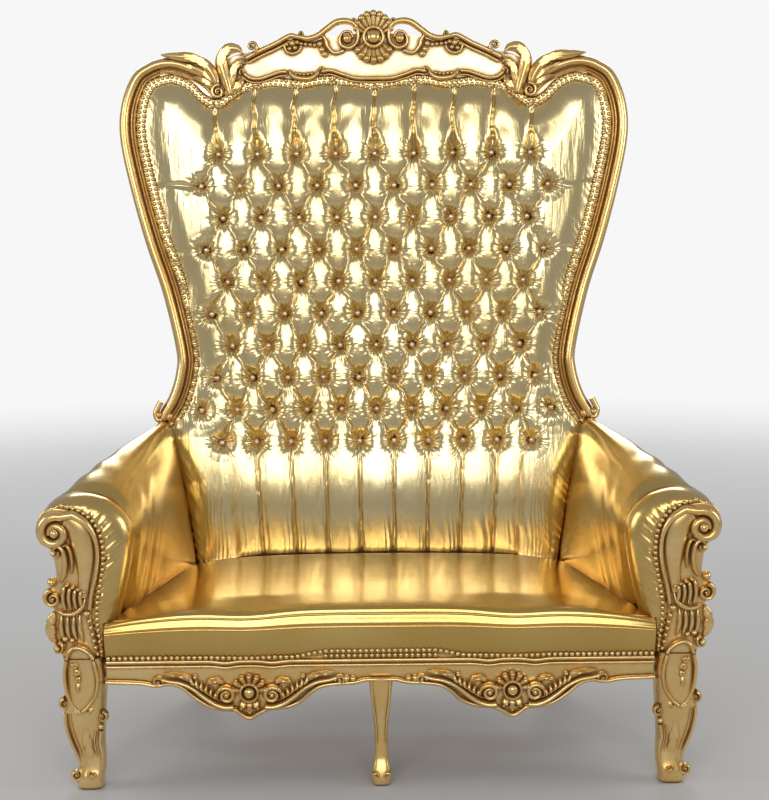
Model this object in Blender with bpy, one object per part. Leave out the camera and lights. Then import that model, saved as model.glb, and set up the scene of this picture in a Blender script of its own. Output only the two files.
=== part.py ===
"""A two-seat throne: a carved and gilded frame with a deep-buttoned back, padded arms and seat.

X runs to the right as seen from the front, Y to the back, Z up. The floor is at Z = 0.
The carving is drawn once, on the right-hand side, and mirrored.
"""
import math

import bmesh
import bpy
from mathutils import Matrix, Vector

# Sizes in metres.
GAP = 0.0003  # clearance between pieces that touch
SOFT_GAP = 0.0015  # clearance between upholstery and its neighbours
HEIGHT = 1.775  # floor to the top of the crest
SEAT_H = 0.400  # floor to the crown of the seat
RAIL_TOP = 0.295  # top of the seat rails
RAIL_BOTTOM = 0.246  # plain underside of the front rail
SIDE_RAIL_DROP = 0.070  # height of the side and back rails
ARM_FRONT_TOP = 0.633  # top of the carved arm front
ARM_BACK_TOP = 0.742  # top of the arm where it meets the back

BACK_HALF = 0.650  # half width of the back at its widest
ARM_HALF = 0.766  # half width over the arm scrolls
LEG_INNER = 0.610  # middle to the inner side of a front leg
PENDANT_X = 0.2925  # middle to the centre of a pendant on the front rail
BACK_LEG_X = 0.455  # middle to the centre of a back leg

FRONT_FACE = -0.402  # plain front face of the rail
RAIL_DEPTH = 0.028
ARM_FACE = -0.396  # plain front face of the arm fronts
ARM_PAD_FRONT = -0.370  # front of the padded arms, behind the arm fronts
LEG_REAR = -0.335
BACK_FACE = 0.170  # front face of the back frame at seat height
LEAN = 0.13  # how far the back leans for each metre of height
FRAME_DEPTH = 0.045  # back frame, from its front face to the outside back
PANEL_THICK = 0.012
PAD_BULGE = 0.030  # how far the padding stands in front of the back frame
RAIL_THICK = 0.040
SEAT_BASE_THICK = 0.025

STILE_WIDTH = 0.043
CREST_JOINT = 0.545  # half width of the crest rail, up to its joints with the stiles
BUTTON_PITCH = 0.094  # between buttons in a row
BUTTON_ROW = 0.081  # between rows
BUTTON_TOP_ROW = 1.412
BUTTON_ROWS = 10
TUFT_DEPTH = 0.022

CARVE_GAP = 0.005  # clearance beside a carved lower edge
PAD_EDGE = 0.004  # padding in front of the frame at its nailed edge
PAD_SHOULDER = 0.070  # width over which the padding swells to its full height
PANEL_INSET = 0.006
SEAT_DROP = 0.020  # how much lower the seat is at its sides than at its crown
SEAT_CORNER = 0.012  # how far the seat's top rounds down at its sides
SEAT_LIP = 0.005  # how much higher the seat is just behind its front edge
SEAT_NOTCH = 0.006  # how far the seat reaches past the legs in front of the padded arms
ARM_CREASE_LOW = 0.462  # middle to the crease between arm and inside back, at seat height
ARM_CREASE_HIGH = 0.523  # the same at the top of the arm
ARM_EASE = 0.014  # depth of the rounding of the padded arm's front edge
ARM_TUCK = 0.06  # share by which the arm's front ring is drawn in
LEG_FACE = -0.408  # front of the raised edges of a front leg
KNEE_FACE = -0.420  # front of the oval on its knee
BACK_LEG_SWEEP = 0.190  # how far back a back leg reaches at its foot
BACK_LEG_HALF = 0.022

VOXEL = 0.0035  # grid on which overlapping carved shapes become one solid

GILT = (0.62, 0.42, 0.16, 1.0)
LEATHERETTE = (0.80, 0.62, 0.30, 1.0)
BARE_WOOD = (0.42, 0.29, 0.17, 1.0)

for old in list(bpy.data.objects):
    bpy.data.objects.remove(old, do_unlink=True)


# The drawings below give each outline in metres for a throne of the sizes that follow,
# and these functions stretch them to the named sizes above.
DRAWN_HEIGHT = 1.775
DRAWN_SEAT = 0.400
DRAWN_BACK = 0.650
DRAWN_ARM = 0.766
DRAWN_RAIL_TOP = 0.295
DRAWN_ARM_TOP = 0.633
DRAWN_ARM_BACK_TOP = 0.742
DRAWN_LEG_INNER = 0.610
DRAWN_PENDANT = 0.2925


def back_point(x, z):
    """A point on the face of the back."""
    rise = (HEIGHT - SEAT_H) / (DRAWN_HEIGHT - DRAWN_SEAT)
    return Vector((x * BACK_HALF / DRAWN_BACK, SEAT_H + (z - DRAWN_SEAT) * rise))


def arm_x(x):
    """A distance from the middle, measured between a front leg's inner side and the arm scroll."""
    across = (ARM_HALF - LEG_INNER) / (DRAWN_ARM - DRAWN_LEG_INNER)
    return LEG_INNER + (x - DRAWN_LEG_INNER) * across


def arm_point(x, z):
    """A point on an arm front."""
    rise = (ARM_FRONT_TOP - RAIL_TOP) / (DRAWN_ARM_TOP - DRAWN_RAIL_TOP)
    return Vector((arm_x(x), RAIL_TOP + GAP + (z - DRAWN_RAIL_TOP) * rise))


def leg_point(x, z):
    """A point on a front leg."""
    return Vector((arm_x(x), z * RAIL_TOP / DRAWN_RAIL_TOP))


def rail_point(x, z):
    """A point on the front rail: beside a pendant shapes keep their size, farther out they stretch."""
    if x > DRAWN_PENDANT:
        share = (x - DRAWN_PENDANT) / (DRAWN_LEG_INNER - DRAWN_PENDANT)
        along = PENDANT_X + share * (LEG_INNER - PENDANT_X)
    else:
        along = x * PENDANT_X / DRAWN_PENDANT
    return Vector((along, RAIL_BOTTOM + z))


def back_y(z):
    """Where the leaning front face of the back frame stands at a height."""
    return BACK_FACE + (z - SEAT_H) * LEAN


# Lines in the face of a piece, as (x, z) points.

def smooth(points, steps=5):
    """A smooth curve through the points, with a number of steps between each two."""
    knots = [Vector(p) for p in points]
    ends = [2 * knots[0] - knots[1], *knots, 2 * knots[-1] - knots[-2]]
    line = []
    for a, b, c, d in zip(ends, ends[1:], ends[2:], ends[3:]):
        for k in range(steps):
            t = k / steps
            bend = (2 * a - 5 * b + 4 * c - d) * t * t + (3 * b - a - 3 * c + d) * t ** 3
            line.append((2 * b + (c - a) * t + bend) / 2)
    return line + [knots[-1]]


def volute(eye, radius, start, turns, inner=0.3):
    """A spiral that starts on a circle about its eye and winds inward; negative turns go clockwise."""
    count = max(8, round(abs(turns) * 14))
    line = []
    for k in range(count + 1):
        t = k / count
        angle = math.radians(start) + 2 * math.pi * turns * t
        reach = radius * inner ** t
        line.append(Vector((eye[0] + reach * math.cos(angle), eye[1] + reach * math.sin(angle))))
    return line


def ring_line(centre, across, up):
    """A closed oval."""
    angles = [2 * math.pi * k / 20 for k in range(21)]
    return [Vector((centre[0] + across * math.cos(a), centre[1] + up * math.sin(a))) for a in angles]


# How a rod's thickness runs from its start (0) to its end (1).

def even(t):
    return 1.0


def fading(t):
    return 1.0 - 0.6 * t


def leafy(t):
    """Narrow at the stem, full in the middle with three lobes, pointed at the tip."""
    body = math.sin(math.pi * min(1.0, 0.12 + 0.88 * t)) ** 0.7
    return max(0.08, body * (1.0 + 0.18 * math.cos(6 * math.pi * t)))


# Shells: closed shapes that overlap, for a piece that is carved as one.

def rod(bm, line, wide, lift, y, shape=even, sides=8):
    """A rod along a line: wide is its half width in the face, lift its half depth."""
    last = len(line) - 1
    rings = []
    for i, point in enumerate(line):
        ahead = line[min(i + 1, last)] - line[max(i - 1, 0)]
        side = Vector((-ahead.y, ahead.x)).normalized()
        size = shape(i / last)
        ring = []
        for k in range(sides):
            turn = 2 * math.pi * k / sides
            place = point + side * (wide * size * math.cos(turn))
            ring.append(bm.verts.new((place.x, y + lift * size * math.sin(turn), place.y)))
        rings.append(ring)
    for near, far in zip(rings, rings[1:]):
        for k in range(sides):
            after = (k + 1) % sides
            bm.faces.new((near[k], near[after], far[after], far[k]))
    bm.faces.new(rings[0])
    bm.faces.new(rings[-1])


def knob(bm, centre, radius, lift, y):
    """A ball, pressed to a half depth."""
    place = Matrix.Translation((centre[0], y, centre[1])) @ Matrix.Diagonal((radius, lift, radius, 1.0))
    bmesh.ops.create_icosphere(bm, subdivisions=2, radius=1.0, matrix=place)


def slab(bm, outline, front, rear):
    """A flat board with the given outline."""
    near = [bm.verts.new((p[0], front, p[1])) for p in outline]
    far = [bm.verts.new((p[0], rear, p[1])) for p in outline]
    bm.faces.new(near)
    bm.faces.new(far[::-1])
    for k in range(len(outline)):
        after = (k + 1) % len(outline)
        bm.faces.new((near[after], near[k], far[k], far[after]))
    bm.normal_update()


def loft(bm, rings):
    """A closed skin over rings of points that all have the same count."""
    made = [[bm.verts.new(p) for p in ring] for ring in rings]
    for near, far in zip(made, made[1:]):
        for k in range(len(near)):
            after = (k + 1) % len(near)
            bm.faces.new((near[k], near[after], far[after], far[k]))
    bm.faces.new(made[0][::-1])
    bm.faces.new(made[-1])
    bm.normal_update()


def oval(x, y, half_x, half_y, z, sides=12):
    """A level ring with softly squared corners."""
    ring = []
    for k in range(sides):
        turn = 2 * math.pi * k / sides
        along, across = math.cos(turn), math.sin(turn)
        square = (abs(along) ** 3 + abs(across) ** 3) ** (-1 / 3)
        ring.append((x + half_x * square * along, y + half_y * square * across, z))
    return ring


def mirrored(bm):
    """Repeats everything drawn so far on the other side of the middle."""
    copy = bmesh.ops.duplicate(bm, geom=bm.verts[:] + bm.edges[:] + bm.faces[:])["geom"]
    for item in copy:
        if isinstance(item, bmesh.types.BMVert):
            item.co.x = -item.co.x
    bmesh.ops.reverse_faces(bm, faces=[f for f in copy if isinstance(f, bmesh.types.BMFace)])


# From shells to finished solids.

def trim(bm, point, beyond):
    """Cuts off what lies beyond a plane and closes the cut with a flat face."""
    everything = bm.verts[:] + bm.edges[:] + bm.faces[:]
    cut = bmesh.ops.bisect_plane(bm, geom=everything, plane_co=point, plane_no=beyond,
                                 clear_outer=True, dist=1e-6)["geom_cut"]
    edges = [item for item in cut if isinstance(item, bmesh.types.BMEdge)]
    if edges:
        bmesh.ops.triangle_fill(bm, use_beauty=True, edges=edges, normal=beyond)


def keep_largest(bm):
    """Drops crumbs: only the body with the most faces stays."""
    left = set(bm.faces)
    bodies = []
    while left:
        body, front = set(), [left.pop()]
        while front:
            face = front.pop()
            body.add(face)
            for edge in face.edges:
                for other in edge.link_faces:
                    if other in left:
                        left.remove(other)
                        front.append(other)
        bodies.append(body)
    bodies.sort(key=len)
    for body in bodies[:-1]:
        bmesh.ops.delete(bm, geom=list(body), context="FACES")


def material(name, colour, roughness, metallic):
    """A plain surface with a colour."""
    made = bpy.data.materials.new(name)
    made.use_nodes = True
    shader = made.node_tree.nodes["Principled BSDF"]
    shader.inputs["Base Color"].default_value = colour
    shader.inputs["Roughness"].default_value = roughness
    shader.inputs["Metallic"].default_value = metallic
    made.diffuse_color = colour
    return made


def place(name, bm, finish):
    """Turns a finished mesh into a named object with a material of its own."""
    bmesh.ops.remove_doubles(bm, verts=bm.verts[:], dist=1e-5)
    bmesh.ops.recalc_face_normals(bm, faces=bm.faces[:])
    mesh = bpy.data.meshes.new(name)
    bm.to_mesh(mesh)
    bm.free()
    mesh.materials.append(material(name, *finish))
    mesh.shade_smooth()
    mesh.set_sharp_from_angle(angle=math.radians(40))
    obj = bpy.data.objects.new(name, mesh)
    bpy.context.scene.collection.objects.link(obj)
    return obj


def evaluated(obj):
    """The object's mesh after its modifiers, as a bmesh; the object itself goes."""
    graph = bpy.context.evaluated_depsgraph_get()
    bm = bmesh.new()
    bm.from_object(obj, graph)
    bpy.data.objects.remove(obj, do_unlink=True)
    return bm


def draft(bm):
    """A passing object that carries a mesh through a modifier."""
    mesh = bpy.data.meshes.new("draft")
    bm.to_mesh(mesh)
    bm.free()
    obj = bpy.data.objects.new("draft", mesh)
    bpy.context.scene.collection.objects.link(obj)
    return obj


def carved(bm, triangles, cuts=()):
    """Joins overlapping shells into one solid, thins it out and cuts its joint faces flat."""
    obj = draft(bm)
    union = obj.modifiers.new("Union", "REMESH")
    union.mode = "VOXEL"
    union.voxel_size = VOXEL
    joined = evaluated(obj)
    keep_largest(joined)
    bmesh.ops.triangulate(joined, faces=joined.faces[:])
    count = len(joined.faces)
    obj = draft(joined)
    thin = obj.modifiers.new("Thin out", "DECIMATE")
    thin.ratio = min(1.0, triangles / count)
    solid = evaluated(obj)
    for point, beyond in cuts:
        trim(solid, Vector(point), Vector(beyond))
    keep_largest(solid)
    return solid


def leaned(bm):
    """Gives a piece of the back, drawn upright, its place and its lean."""
    for vert in bm.verts:
        vert.co.y += back_y(vert.co.z)
    return bm


def flipped(bm):
    """The same mesh on the other side."""
    bmesh.ops.scale(bm, vec=(-1.0, 1.0, 1.0), verts=bm.verts[:])
    bmesh.ops.reverse_faces(bm, faces=bm.faces[:])
    return bm


GILT_FINISH = (GILT, 0.35, 0.9)
SOFT_FINISH = (LEATHERETTE, 0.28, 0.85)
WOOD_FINISH = (BARE_WOOD, 0.7, 0.0)


# The back.

STILE_LINE = [(0.556, 0.712), (0.534, 0.752), (0.508, 0.797), (0.490, 0.858), (0.489, 0.920),
              (0.522, 1.065), (0.565, 1.195), (0.603, 1.335), (0.627, 1.455), (0.624, 1.535),
              (0.600, 1.600), (0.567, 1.626), (0.520, 1.639)]
CREST_LOWER = [(0.0, 1.598), (0.07, 1.608), (0.13, 1.611), (0.19, 1.602), (0.25, 1.606), (0.30, 1.602),
               (0.34, 1.592), (0.375, 1.571), (0.402, 1.553), (0.432, 1.567), (0.457, 1.592),
               (0.482, 1.607), (0.515, 1.616), (0.560, 1.606)]
CREST_UPPER = [(0.560, 1.652), (0.515, 1.660), (0.456, 1.651), (0.430, 1.642), (0.408, 1.632),
               (0.39, 1.662), (0.36, 1.674), (0.32, 1.684), (0.25, 1.697), (0.195, 1.708),
               (0.157, 1.702), (0.10, 1.708), (0.05, 1.722), (0.0, 1.722)]


def stile_centre():
    return smooth([back_point(x, z) for x, z in STILE_LINE], 3)


def offset(line, distance):
    """A line moved sideways in its own plane, to its left for a positive distance."""
    last = len(line) - 1
    moved = []
    for i, point in enumerate(line):
        ahead = line[min(i + 1, last)] - line[max(i - 1, 0)]
        moved.append(point + Vector((-ahead.y, ahead.x)).normalized() * distance)
    return moved


def crossing(line, x):
    """The last point, from the foot up, where a line crosses an upright plane."""
    for a, b in reversed(list(zip(line, line[1:]))):
        if (a.x - x) * (b.x - x) <= 0:
            return a.lerp(b, (x - a.x) / (b.x - a.x))
    return line[-1]


def beside_crest(point):
    """Whether a point lies above the lowest point of the crest rail's lower edge."""
    return point.y > min(back_point(x, z).y for x, z in CREST_LOWER)


def back_stile():
    """A moulding swept along the outline of the back: a fillet and a bead inside, a full round outside."""
    half = STILE_WIDTH / 2
    section = [(1.0, FRAME_DEPTH), (1.0, -0.004), (0.80, -0.010), (0.58, -0.004), (0.36, -0.004),
               (0.05, -0.015), (-0.40, -0.019), (-0.80, -0.013), (-1.0, 0.0), (-1.0, FRAME_DEPTH)]
    sides = [offset(stile_centre(), share * half) for share, depth in section]
    joint = CREST_JOINT + GAP
    rings = []
    for i in range(len(sides[0])):
        points = [side[i] for side in sides]
        if beside_crest(points[0]) and min(p.x for p in points) < joint + half / 4:
            break
        rings.append([(p.x, depth, p.y) for p, (share, depth) in zip(points, section)])
    ends = [crossing(side, joint) for side in sides]
    rings.append([(joint, depth, end.y) for end, (share, depth) in zip(ends, section)])
    bm = bmesh.new()
    loft(bm, rings)
    trim(bm, Vector((0, 0, ARM_BACK_TOP + GAP)), Vector((0, 0, -1)))
    keep_largest(bm)
    return bm


def crest_rail():
    """The top rail: a plain panel between mouldings, a shell in the middle, scrolls and leaves."""
    p = back_point
    bm = bmesh.new()
    outline = [p(x, z) for x, z in CREST_LOWER + CREST_UPPER]
    slab(bm, outline, -0.006, FRAME_DEPTH + VOXEL)
    ear = smooth([p(0.560, 1.629), p(0.515, 1.637), p(0.462, 1.622), p(0.432, 1.603), p(0.408, 1.580)])
    rod(bm, ear, 0.019, 0.018, -0.001)
    upper = smooth([p(0.145, 1.690), p(0.165, 1.703), p(0.20, 1.712), p(0.25, 1.702), p(0.292, 1.686)])
    rod(bm, upper, 0.009, 0.013, -0.008)
    rod(bm, volute(p(0.311, 1.691), 0.017, 200, -1.2), 0.007, 0.014, -0.010)
    lower = smooth([p(0.02, 1.608), p(0.08, 1.617), p(0.14, 1.618), p(0.20, 1.611), p(0.28, 1.612),
                    p(0.345, 1.603), p(0.382, 1.580)])
    rod(bm, lower, 0.007, 0.012, -0.006)
    rod(bm, volute(p(0.101, 1.705), 0.040, 215, -1.4, 0.35), 0.010, 0.016, -0.012)
    rod(bm, smooth([p(0.115, 1.735), p(0.150, 1.722), p(0.195, 1.722)]), 0.009, 0.012, -0.008, leafy)
    rod(bm, smooth([p(0.325, 1.700), p(0.350, 1.684), p(0.375, 1.686)]), 0.009, 0.012, -0.006, leafy)
    leaves = [[(0.392, 1.584), (0.372, 1.612), (0.372, 1.655), (0.388, 1.692)],
              [(0.380, 1.592), (0.350, 1.620), (0.345, 1.655), (0.352, 1.688)],
              [(0.382, 1.590), (0.350, 1.608), (0.315, 1.626), (0.300, 1.650)],
              [(0.405, 1.590), (0.415, 1.630), (0.450, 1.652), (0.500, 1.664), (0.540, 1.672)]]
    for leaf in leaves:
        rod(bm, smooth([p(x, z) for x, z in leaf]), 0.016, 0.016, -0.010, leafy)
    rod(bm, volute(p(0.400, 1.577), 0.015, 90, -1.2), 0.006, 0.014, -0.012)
    mirrored(bm)
    jewel = p(0.0, 1.707)
    for k in range(-4, 5):
        angle = math.radians(90 + 27 * k)
        reach = 0.064 - 0.002 * abs(k)
        near = jewel + Vector((math.cos(angle), math.sin(angle))) * 0.018
        tip = jewel + Vector((math.cos(angle), math.sin(angle))) * reach
        rod(bm, smooth([near, (near + tip) / 2, tip], 4), 0.012, 0.014, -0.018, leafy)
    rod(bm, smooth([jewel, p(0.0, 1.67), p(0.0, 1.641)]), 0.022, 0.016, -0.014, fading)
    rod(bm, ring_line(jewel, 0.024, 0.024), 0.006, 0.010, -0.026)
    knob(bm, jewel, 0.016, 0.014, -0.030)
    cuts = [((0, FRAME_DEPTH, 0), (0, 1, 0)), ((CREST_JOINT, 0, 0), (1, 0, 0)),
            ((-CREST_JOINT, 0, 0), (-1, 0, 0))]
    return carved(bm, 1700, cuts)


def arm_inner_x(z):
    """The line, up the side of the inside back, along which the padded arm meets it."""
    share = max(0.0, (z - SEAT_H) / (ARM_BACK_TOP - SEAT_H))
    x = ARM_CREASE_LOW + share * (ARM_CREASE_HIGH - ARM_CREASE_LOW)
    return x * BACK_HALF / DRAWN_BACK


def both_sides(side):
    """A whole outline from its right half, which ends on the middle line."""
    return side + [Vector((-p.x, p.y)) for p in reversed(side[:-1])]


def stile_edge(distance):
    """The stile's line moved inward, between the arm and the joint with the crest rail."""
    edge = []
    for point in offset(stile_centre(), distance):
        at_joint = point.x < CREST_JOINT and beside_crest(point)
        if point.y > ARM_BACK_TOP - STILE_WIDTH / 8 and not at_joint:
            edge.append(point)
    return edge


def back_pad_outline():
    """The outline of the inside back, from its foot up the right side and down the left."""
    low = [RAIL_TOP + GAP, SEAT_H, (SEAT_H + ARM_BACK_TOP) / 2, ARM_BACK_TOP - STILE_WIDTH / 2]
    side = [Vector((arm_inner_x(z) - SOFT_GAP, z)) for z in low]
    side += stile_edge(STILE_WIDTH / 2 + SOFT_GAP)
    for x, z in reversed(CREST_LOWER[:-1]):
        point = back_point(x, z) - Vector((0, CARVE_GAP))
        if point.x < side[-1].x - CARVE_GAP:
            side.append(point)
    return both_sides(side)


def edge_distance(point, outline):
    """How far a point lies from the nearest side of a closed outline."""
    nearest = BACK_HALF
    for a, b in zip(outline, outline[1:] + outline[:1]):
        along = b - a
        share = (point - a).dot(along) / along.length_squared
        nearest = min(nearest, (a + along * min(1.0, max(0.0, share)) - point).length)
    return nearest


def tuft(x, z):
    """How far the cover is drawn in: nothing on a puff, most at a button and along the pleats."""
    u = 2 * x / BUTTON_PITCH
    v = (BUTTON_TOP_ROW - z) / BUTTON_ROW
    last = BUTTON_ROWS - 1
    if v < 0:
        puff = abs(math.sin(math.pi * u / 2))
    elif v > last:
        puff = abs(math.sin(math.pi * (u + last) / 2))
    else:
        puff = abs(math.sin(math.pi * (u + v) / 2) * math.sin(math.pi * (u - v) / 2))
    return TUFT_DEPTH * (1.0 - math.sqrt(puff))


def clipped(bm, outline, front, rear):
    """The part of a mesh that lies inside an upright outline."""
    body = draft(bm)
    walls = bmesh.new()
    slab(walls, outline, front, rear)
    bmesh.ops.recalc_face_normals(walls, faces=walls.faces[:])
    fence = draft(walls)
    fence.hide_render = True
    fence.display_type = "WIRE"
    inside = body.modifiers.new("Outline", "BOOLEAN")
    inside.operation = "INTERSECT"
    inside.object = fence
    result = evaluated(body)
    bpy.data.objects.remove(fence, do_unlink=True)
    return result


def back_pad():
    """The inside back: padding over the whole opening, drawn in at the buttons of a diamond pattern."""
    outline = back_pad_outline()
    step_x, step_z = BUTTON_PITCH / 2, BUTTON_ROW / 2
    columns = math.ceil(BACK_HALF / step_x)
    top = max(p.y for p in outline)
    above = max(0, math.ceil((top - BUTTON_TOP_ROW) / step_z)) + 1
    below = math.ceil((BUTTON_TOP_ROW - RAIL_TOP) / step_z) + 1
    bm = bmesh.new()
    grid = []
    for j in range(-above, below + 1):
        z = BUTTON_TOP_ROW - j * step_z
        line = []
        for i in range(-columns, columns + 1):
            x = i * step_x
            share = min(1.0, edge_distance(Vector((x, z)), outline) / PAD_SHOULDER)
            swell = PAD_EDGE + (PAD_BULGE - PAD_EDGE) * math.sin(share * math.pi / 2)
            line.append(bm.verts.new((x, tuft(x, z) * share - swell, z)))
        grid.append(line)
    for high, low in zip(grid, grid[1:]):
        for i in range(len(high) - 1):
            bm.faces.new((high[i], low[i], low[i + 1], high[i + 1]))
    right = [line[-1] for line in grid[1:-1]]
    left = [line[0] for line in grid[-2:0:-1]]
    rim = grid[0] + right + grid[-1][::-1] + left
    rear = [bm.verts.new((v.co.x, FRAME_DEPTH - GAP, v.co.z)) for v in rim]
    for k in range(len(rim)):
        after = (k + 1) % len(rim)
        bm.faces.new((rim[k], rim[after], rear[after], rear[k]))
    bm.faces.new(rear[::-1])
    bmesh.ops.triangulate(bm, faces=bm.faces[:])
    bmesh.ops.recalc_face_normals(bm, faces=bm.faces[:])
    return clipped(bm, outline, -3 * PAD_BULGE, 2 * FRAME_DEPTH)


def back_panel():
    """The outside back: a flat upholstered board, set in from the frame's outer edge."""
    foot = Vector((arm_ring(1.0)[-1][0] - PANEL_INSET, RAIL_TOP - SIDE_RAIL_DROP))
    side = [foot, Vector((foot.x, ARM_BACK_TOP))] + stile_edge(-PANEL_INSET)
    for x, z in reversed(CREST_LOWER[:-1]):
        point = back_point(x, z) + Vector((0, STILE_WIDTH / 2))
        if point.x < side[-1].x - CARVE_GAP:
            side.append(point)
    bm = bmesh.new()
    slab(bm, both_sides(side), FRAME_DEPTH + GAP, FRAME_DEPTH + GAP + PANEL_THICK)
    bmesh.ops.triangulate(bm, faces=bm.faces[:])
    return bm


# The arms.

# Rings of the padded arm as (x, z), from its inner foot over the roll to its outer foot.
ARM_RING_FRONT = [(0.600, 0.295), (0.592, 0.380), (0.566, 0.465), (0.552, 0.545), (0.566, 0.605),
                  (0.606, 0.640), (0.655, 0.652), (0.705, 0.646), (0.738, 0.622), (0.748, 0.585),
                  (0.738, 0.500), (0.722, 0.400), (0.708, 0.295)]
ARM_RING_BACK = [(0.462, 0.295), (0.462, 0.390), (0.480, 0.500), (0.497, 0.595), (0.509, 0.665),
                 (0.519, 0.718), (0.533, 0.7385), (0.547, 0.7415), (0.560, 0.730), (0.566, 0.690),
                 (0.564, 0.560), (0.560, 0.420), (0.556, 0.295)]


def arm_ring(share):
    """A ring of the padded arm, between its front (0) and the back (1)."""
    rise_front = (ARM_FRONT_TOP - RAIL_TOP) / (DRAWN_ARM_TOP - DRAWN_RAIL_TOP)
    rise_back = (ARM_BACK_TOP - RAIL_TOP) / (DRAWN_ARM_BACK_TOP - DRAWN_RAIL_TOP)
    ring = []
    for front, back in zip(ARM_RING_FRONT, ARM_RING_BACK):
        x = arm_x(front[0]) * (1 - share) + back[0] * BACK_HALF / DRAWN_BACK * share
        high_front = (front[1] - DRAWN_RAIL_TOP) * rise_front
        high_back = (back[1] - DRAWN_RAIL_TOP) * rise_back
        ring.append((x, RAIL_TOP + GAP + high_front * (1 - share) + high_back * share))
    return ring


def arm_share(y):
    """How far along its length the padded arm is at a depth; past the inside back it runs straight."""
    meets_back = back_y(RAIL_TOP) - PAD_BULGE
    return min(1.0, max(0.0, (y - ARM_PAD_FRONT) / (meets_back - ARM_PAD_FRONT)))


def at_back_plane(bm, depth):
    """Trims a piece against a plane that leans with the back, at a depth behind its face."""
    trim(bm, Vector((0, BACK_FACE + depth, SEAT_H)), Vector((0, 1, -LEAN)).normalized())


def arm_pad():
    """A padded arm: a roll over an upright side, from the arm front to the outside back."""
    length = back_y(ARM_BACK_TOP) + 2 * FRAME_DEPTH - ARM_PAD_FRONT
    depths = [0.0, ARM_EASE] + [length * k / 9 for k in range(1, 10)]
    rings = []
    for depth in depths:
        y = ARM_PAD_FRONT + depth
        ring = arm_ring(arm_share(y))
        if depth == 0.0:
            middle = Vector(ring[0]).lerp(Vector(ring[len(ring) // 2]), 0.5)
            drawn_in = [Vector(p).lerp(middle, ARM_TUCK) for p in ring[1:-1]]
            ring = [ring[0], *drawn_in, ring[-1]]
        curve = smooth(ring, 2)
        rings.append([(p[0], y, p[1]) for p in curve])
    bm = bmesh.new()
    loft(bm, rings)
    at_back_plane(bm, FRAME_DEPTH)
    return bm


def arm_front():
    """The carved face of an arm: a volute above, a smooth comma, a small scroll and a fluted neck."""
    p = arm_point
    drawn = [(0.626, 0.295), (0.634, 0.340), (0.640, 0.397), (0.635, 0.425), (0.626, 0.463), (0.618, 0.505),
             (0.617, 0.543), (0.625, 0.577), (0.643, 0.605), (0.675, 0.625), (0.707, 0.632), (0.737, 0.627),
             (0.758, 0.605), (0.765, 0.574), (0.752, 0.545), (0.728, 0.530), (0.718, 0.492), (0.728, 0.464),
             (0.740, 0.430), (0.720, 0.398), (0.728, 0.362), (0.722, 0.325), (0.706, 0.295)]
    bm = bmesh.new()
    slab(bm, [p(x, z) for x, z in drawn], ARM_FACE, ARM_PAD_FRONT + VOXEL)
    eye = p(0.728, 0.574)
    edge = smooth([p(0.645, 0.400), p(0.634, 0.450), p(0.626, 0.505), p(0.629, 0.560), p(0.650, 0.598),
                   p(0.682, 0.618)])
    rod(bm, edge + volute(eye, 0.047, 100, -1.5, 0.25), 0.008, 0.010, ARM_FACE - 0.004)
    knob(bm, eye, 0.011, 0.012, ARM_FACE - 0.006)
    comma = smooth([p(0.700, 0.585), p(0.672, 0.550), p(0.668, 0.500), p(0.686, 0.450)])
    rod(bm, comma, 0.026, 0.011, ARM_FACE, fading)
    lower = p(0.715, 0.430)
    rod(bm, volute(lower, 0.025, 60, -1.5, 0.3), 0.007, 0.010, ARM_FACE - 0.004)
    knob(bm, lower, 0.008, 0.010, ARM_FACE - 0.006)
    knob(bm, p(0.734, 0.467), 0.010, 0.012, ARM_FACE)
    rod(bm, smooth([p(0.728, 0.525), p(0.722, 0.500), p(0.730, 0.478)]), 0.011, 0.012, ARM_FACE, leafy)
    for k in range(4):
        start = p(0.712 - 0.006 * k, 0.404 - 0.002 * k)
        tip = p(0.648 + 0.010 * k, 0.436 + 0.008 * k)
        bend = (start + tip) / 2 - Vector((0.0, 0.006))
        rod(bm, smooth([start, bend, tip]), 0.007, 0.009, ARM_FACE - 0.002, leafy)
        foot = p(0.642 + 0.018 * k, 0.310)
        head = p(0.650 + 0.018 * k, 0.388)
        rod(bm, [foot, (foot + head) / 2, head], 0.008, 0.009, ARM_FACE - 0.001)
    knob(bm, p(0.722, 0.313), 0.011, 0.013, ARM_FACE)
    cuts = [((0, ARM_PAD_FRONT - GAP, 0), (0, 1, 0)), ((0, 0, RAIL_TOP + GAP), (0, 0, -1))]
    return carved(bm, 640, cuts)


# The legs.

# Height, middle, half width, depth of the middle and half depth of a front leg, from the floor up.
FRONT_LEG = [(0.0, 0.650, 0.026, -0.402, 0.026), (0.014, 0.650, 0.031, -0.402, 0.030),
             (0.040, 0.650, 0.033, -0.398, 0.030), (0.080, 0.650, 0.033, -0.390, 0.027),
             (0.126, 0.660, 0.041, -0.386, 0.031), (0.170, 0.661, 0.045, -0.382, 0.038),
             (0.220, 0.657, 0.045, -0.378, 0.045), (0.262, 0.658, 0.044, -0.376, 0.046),
             (0.300, 0.664, 0.046, -0.374, 0.044)]


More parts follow.
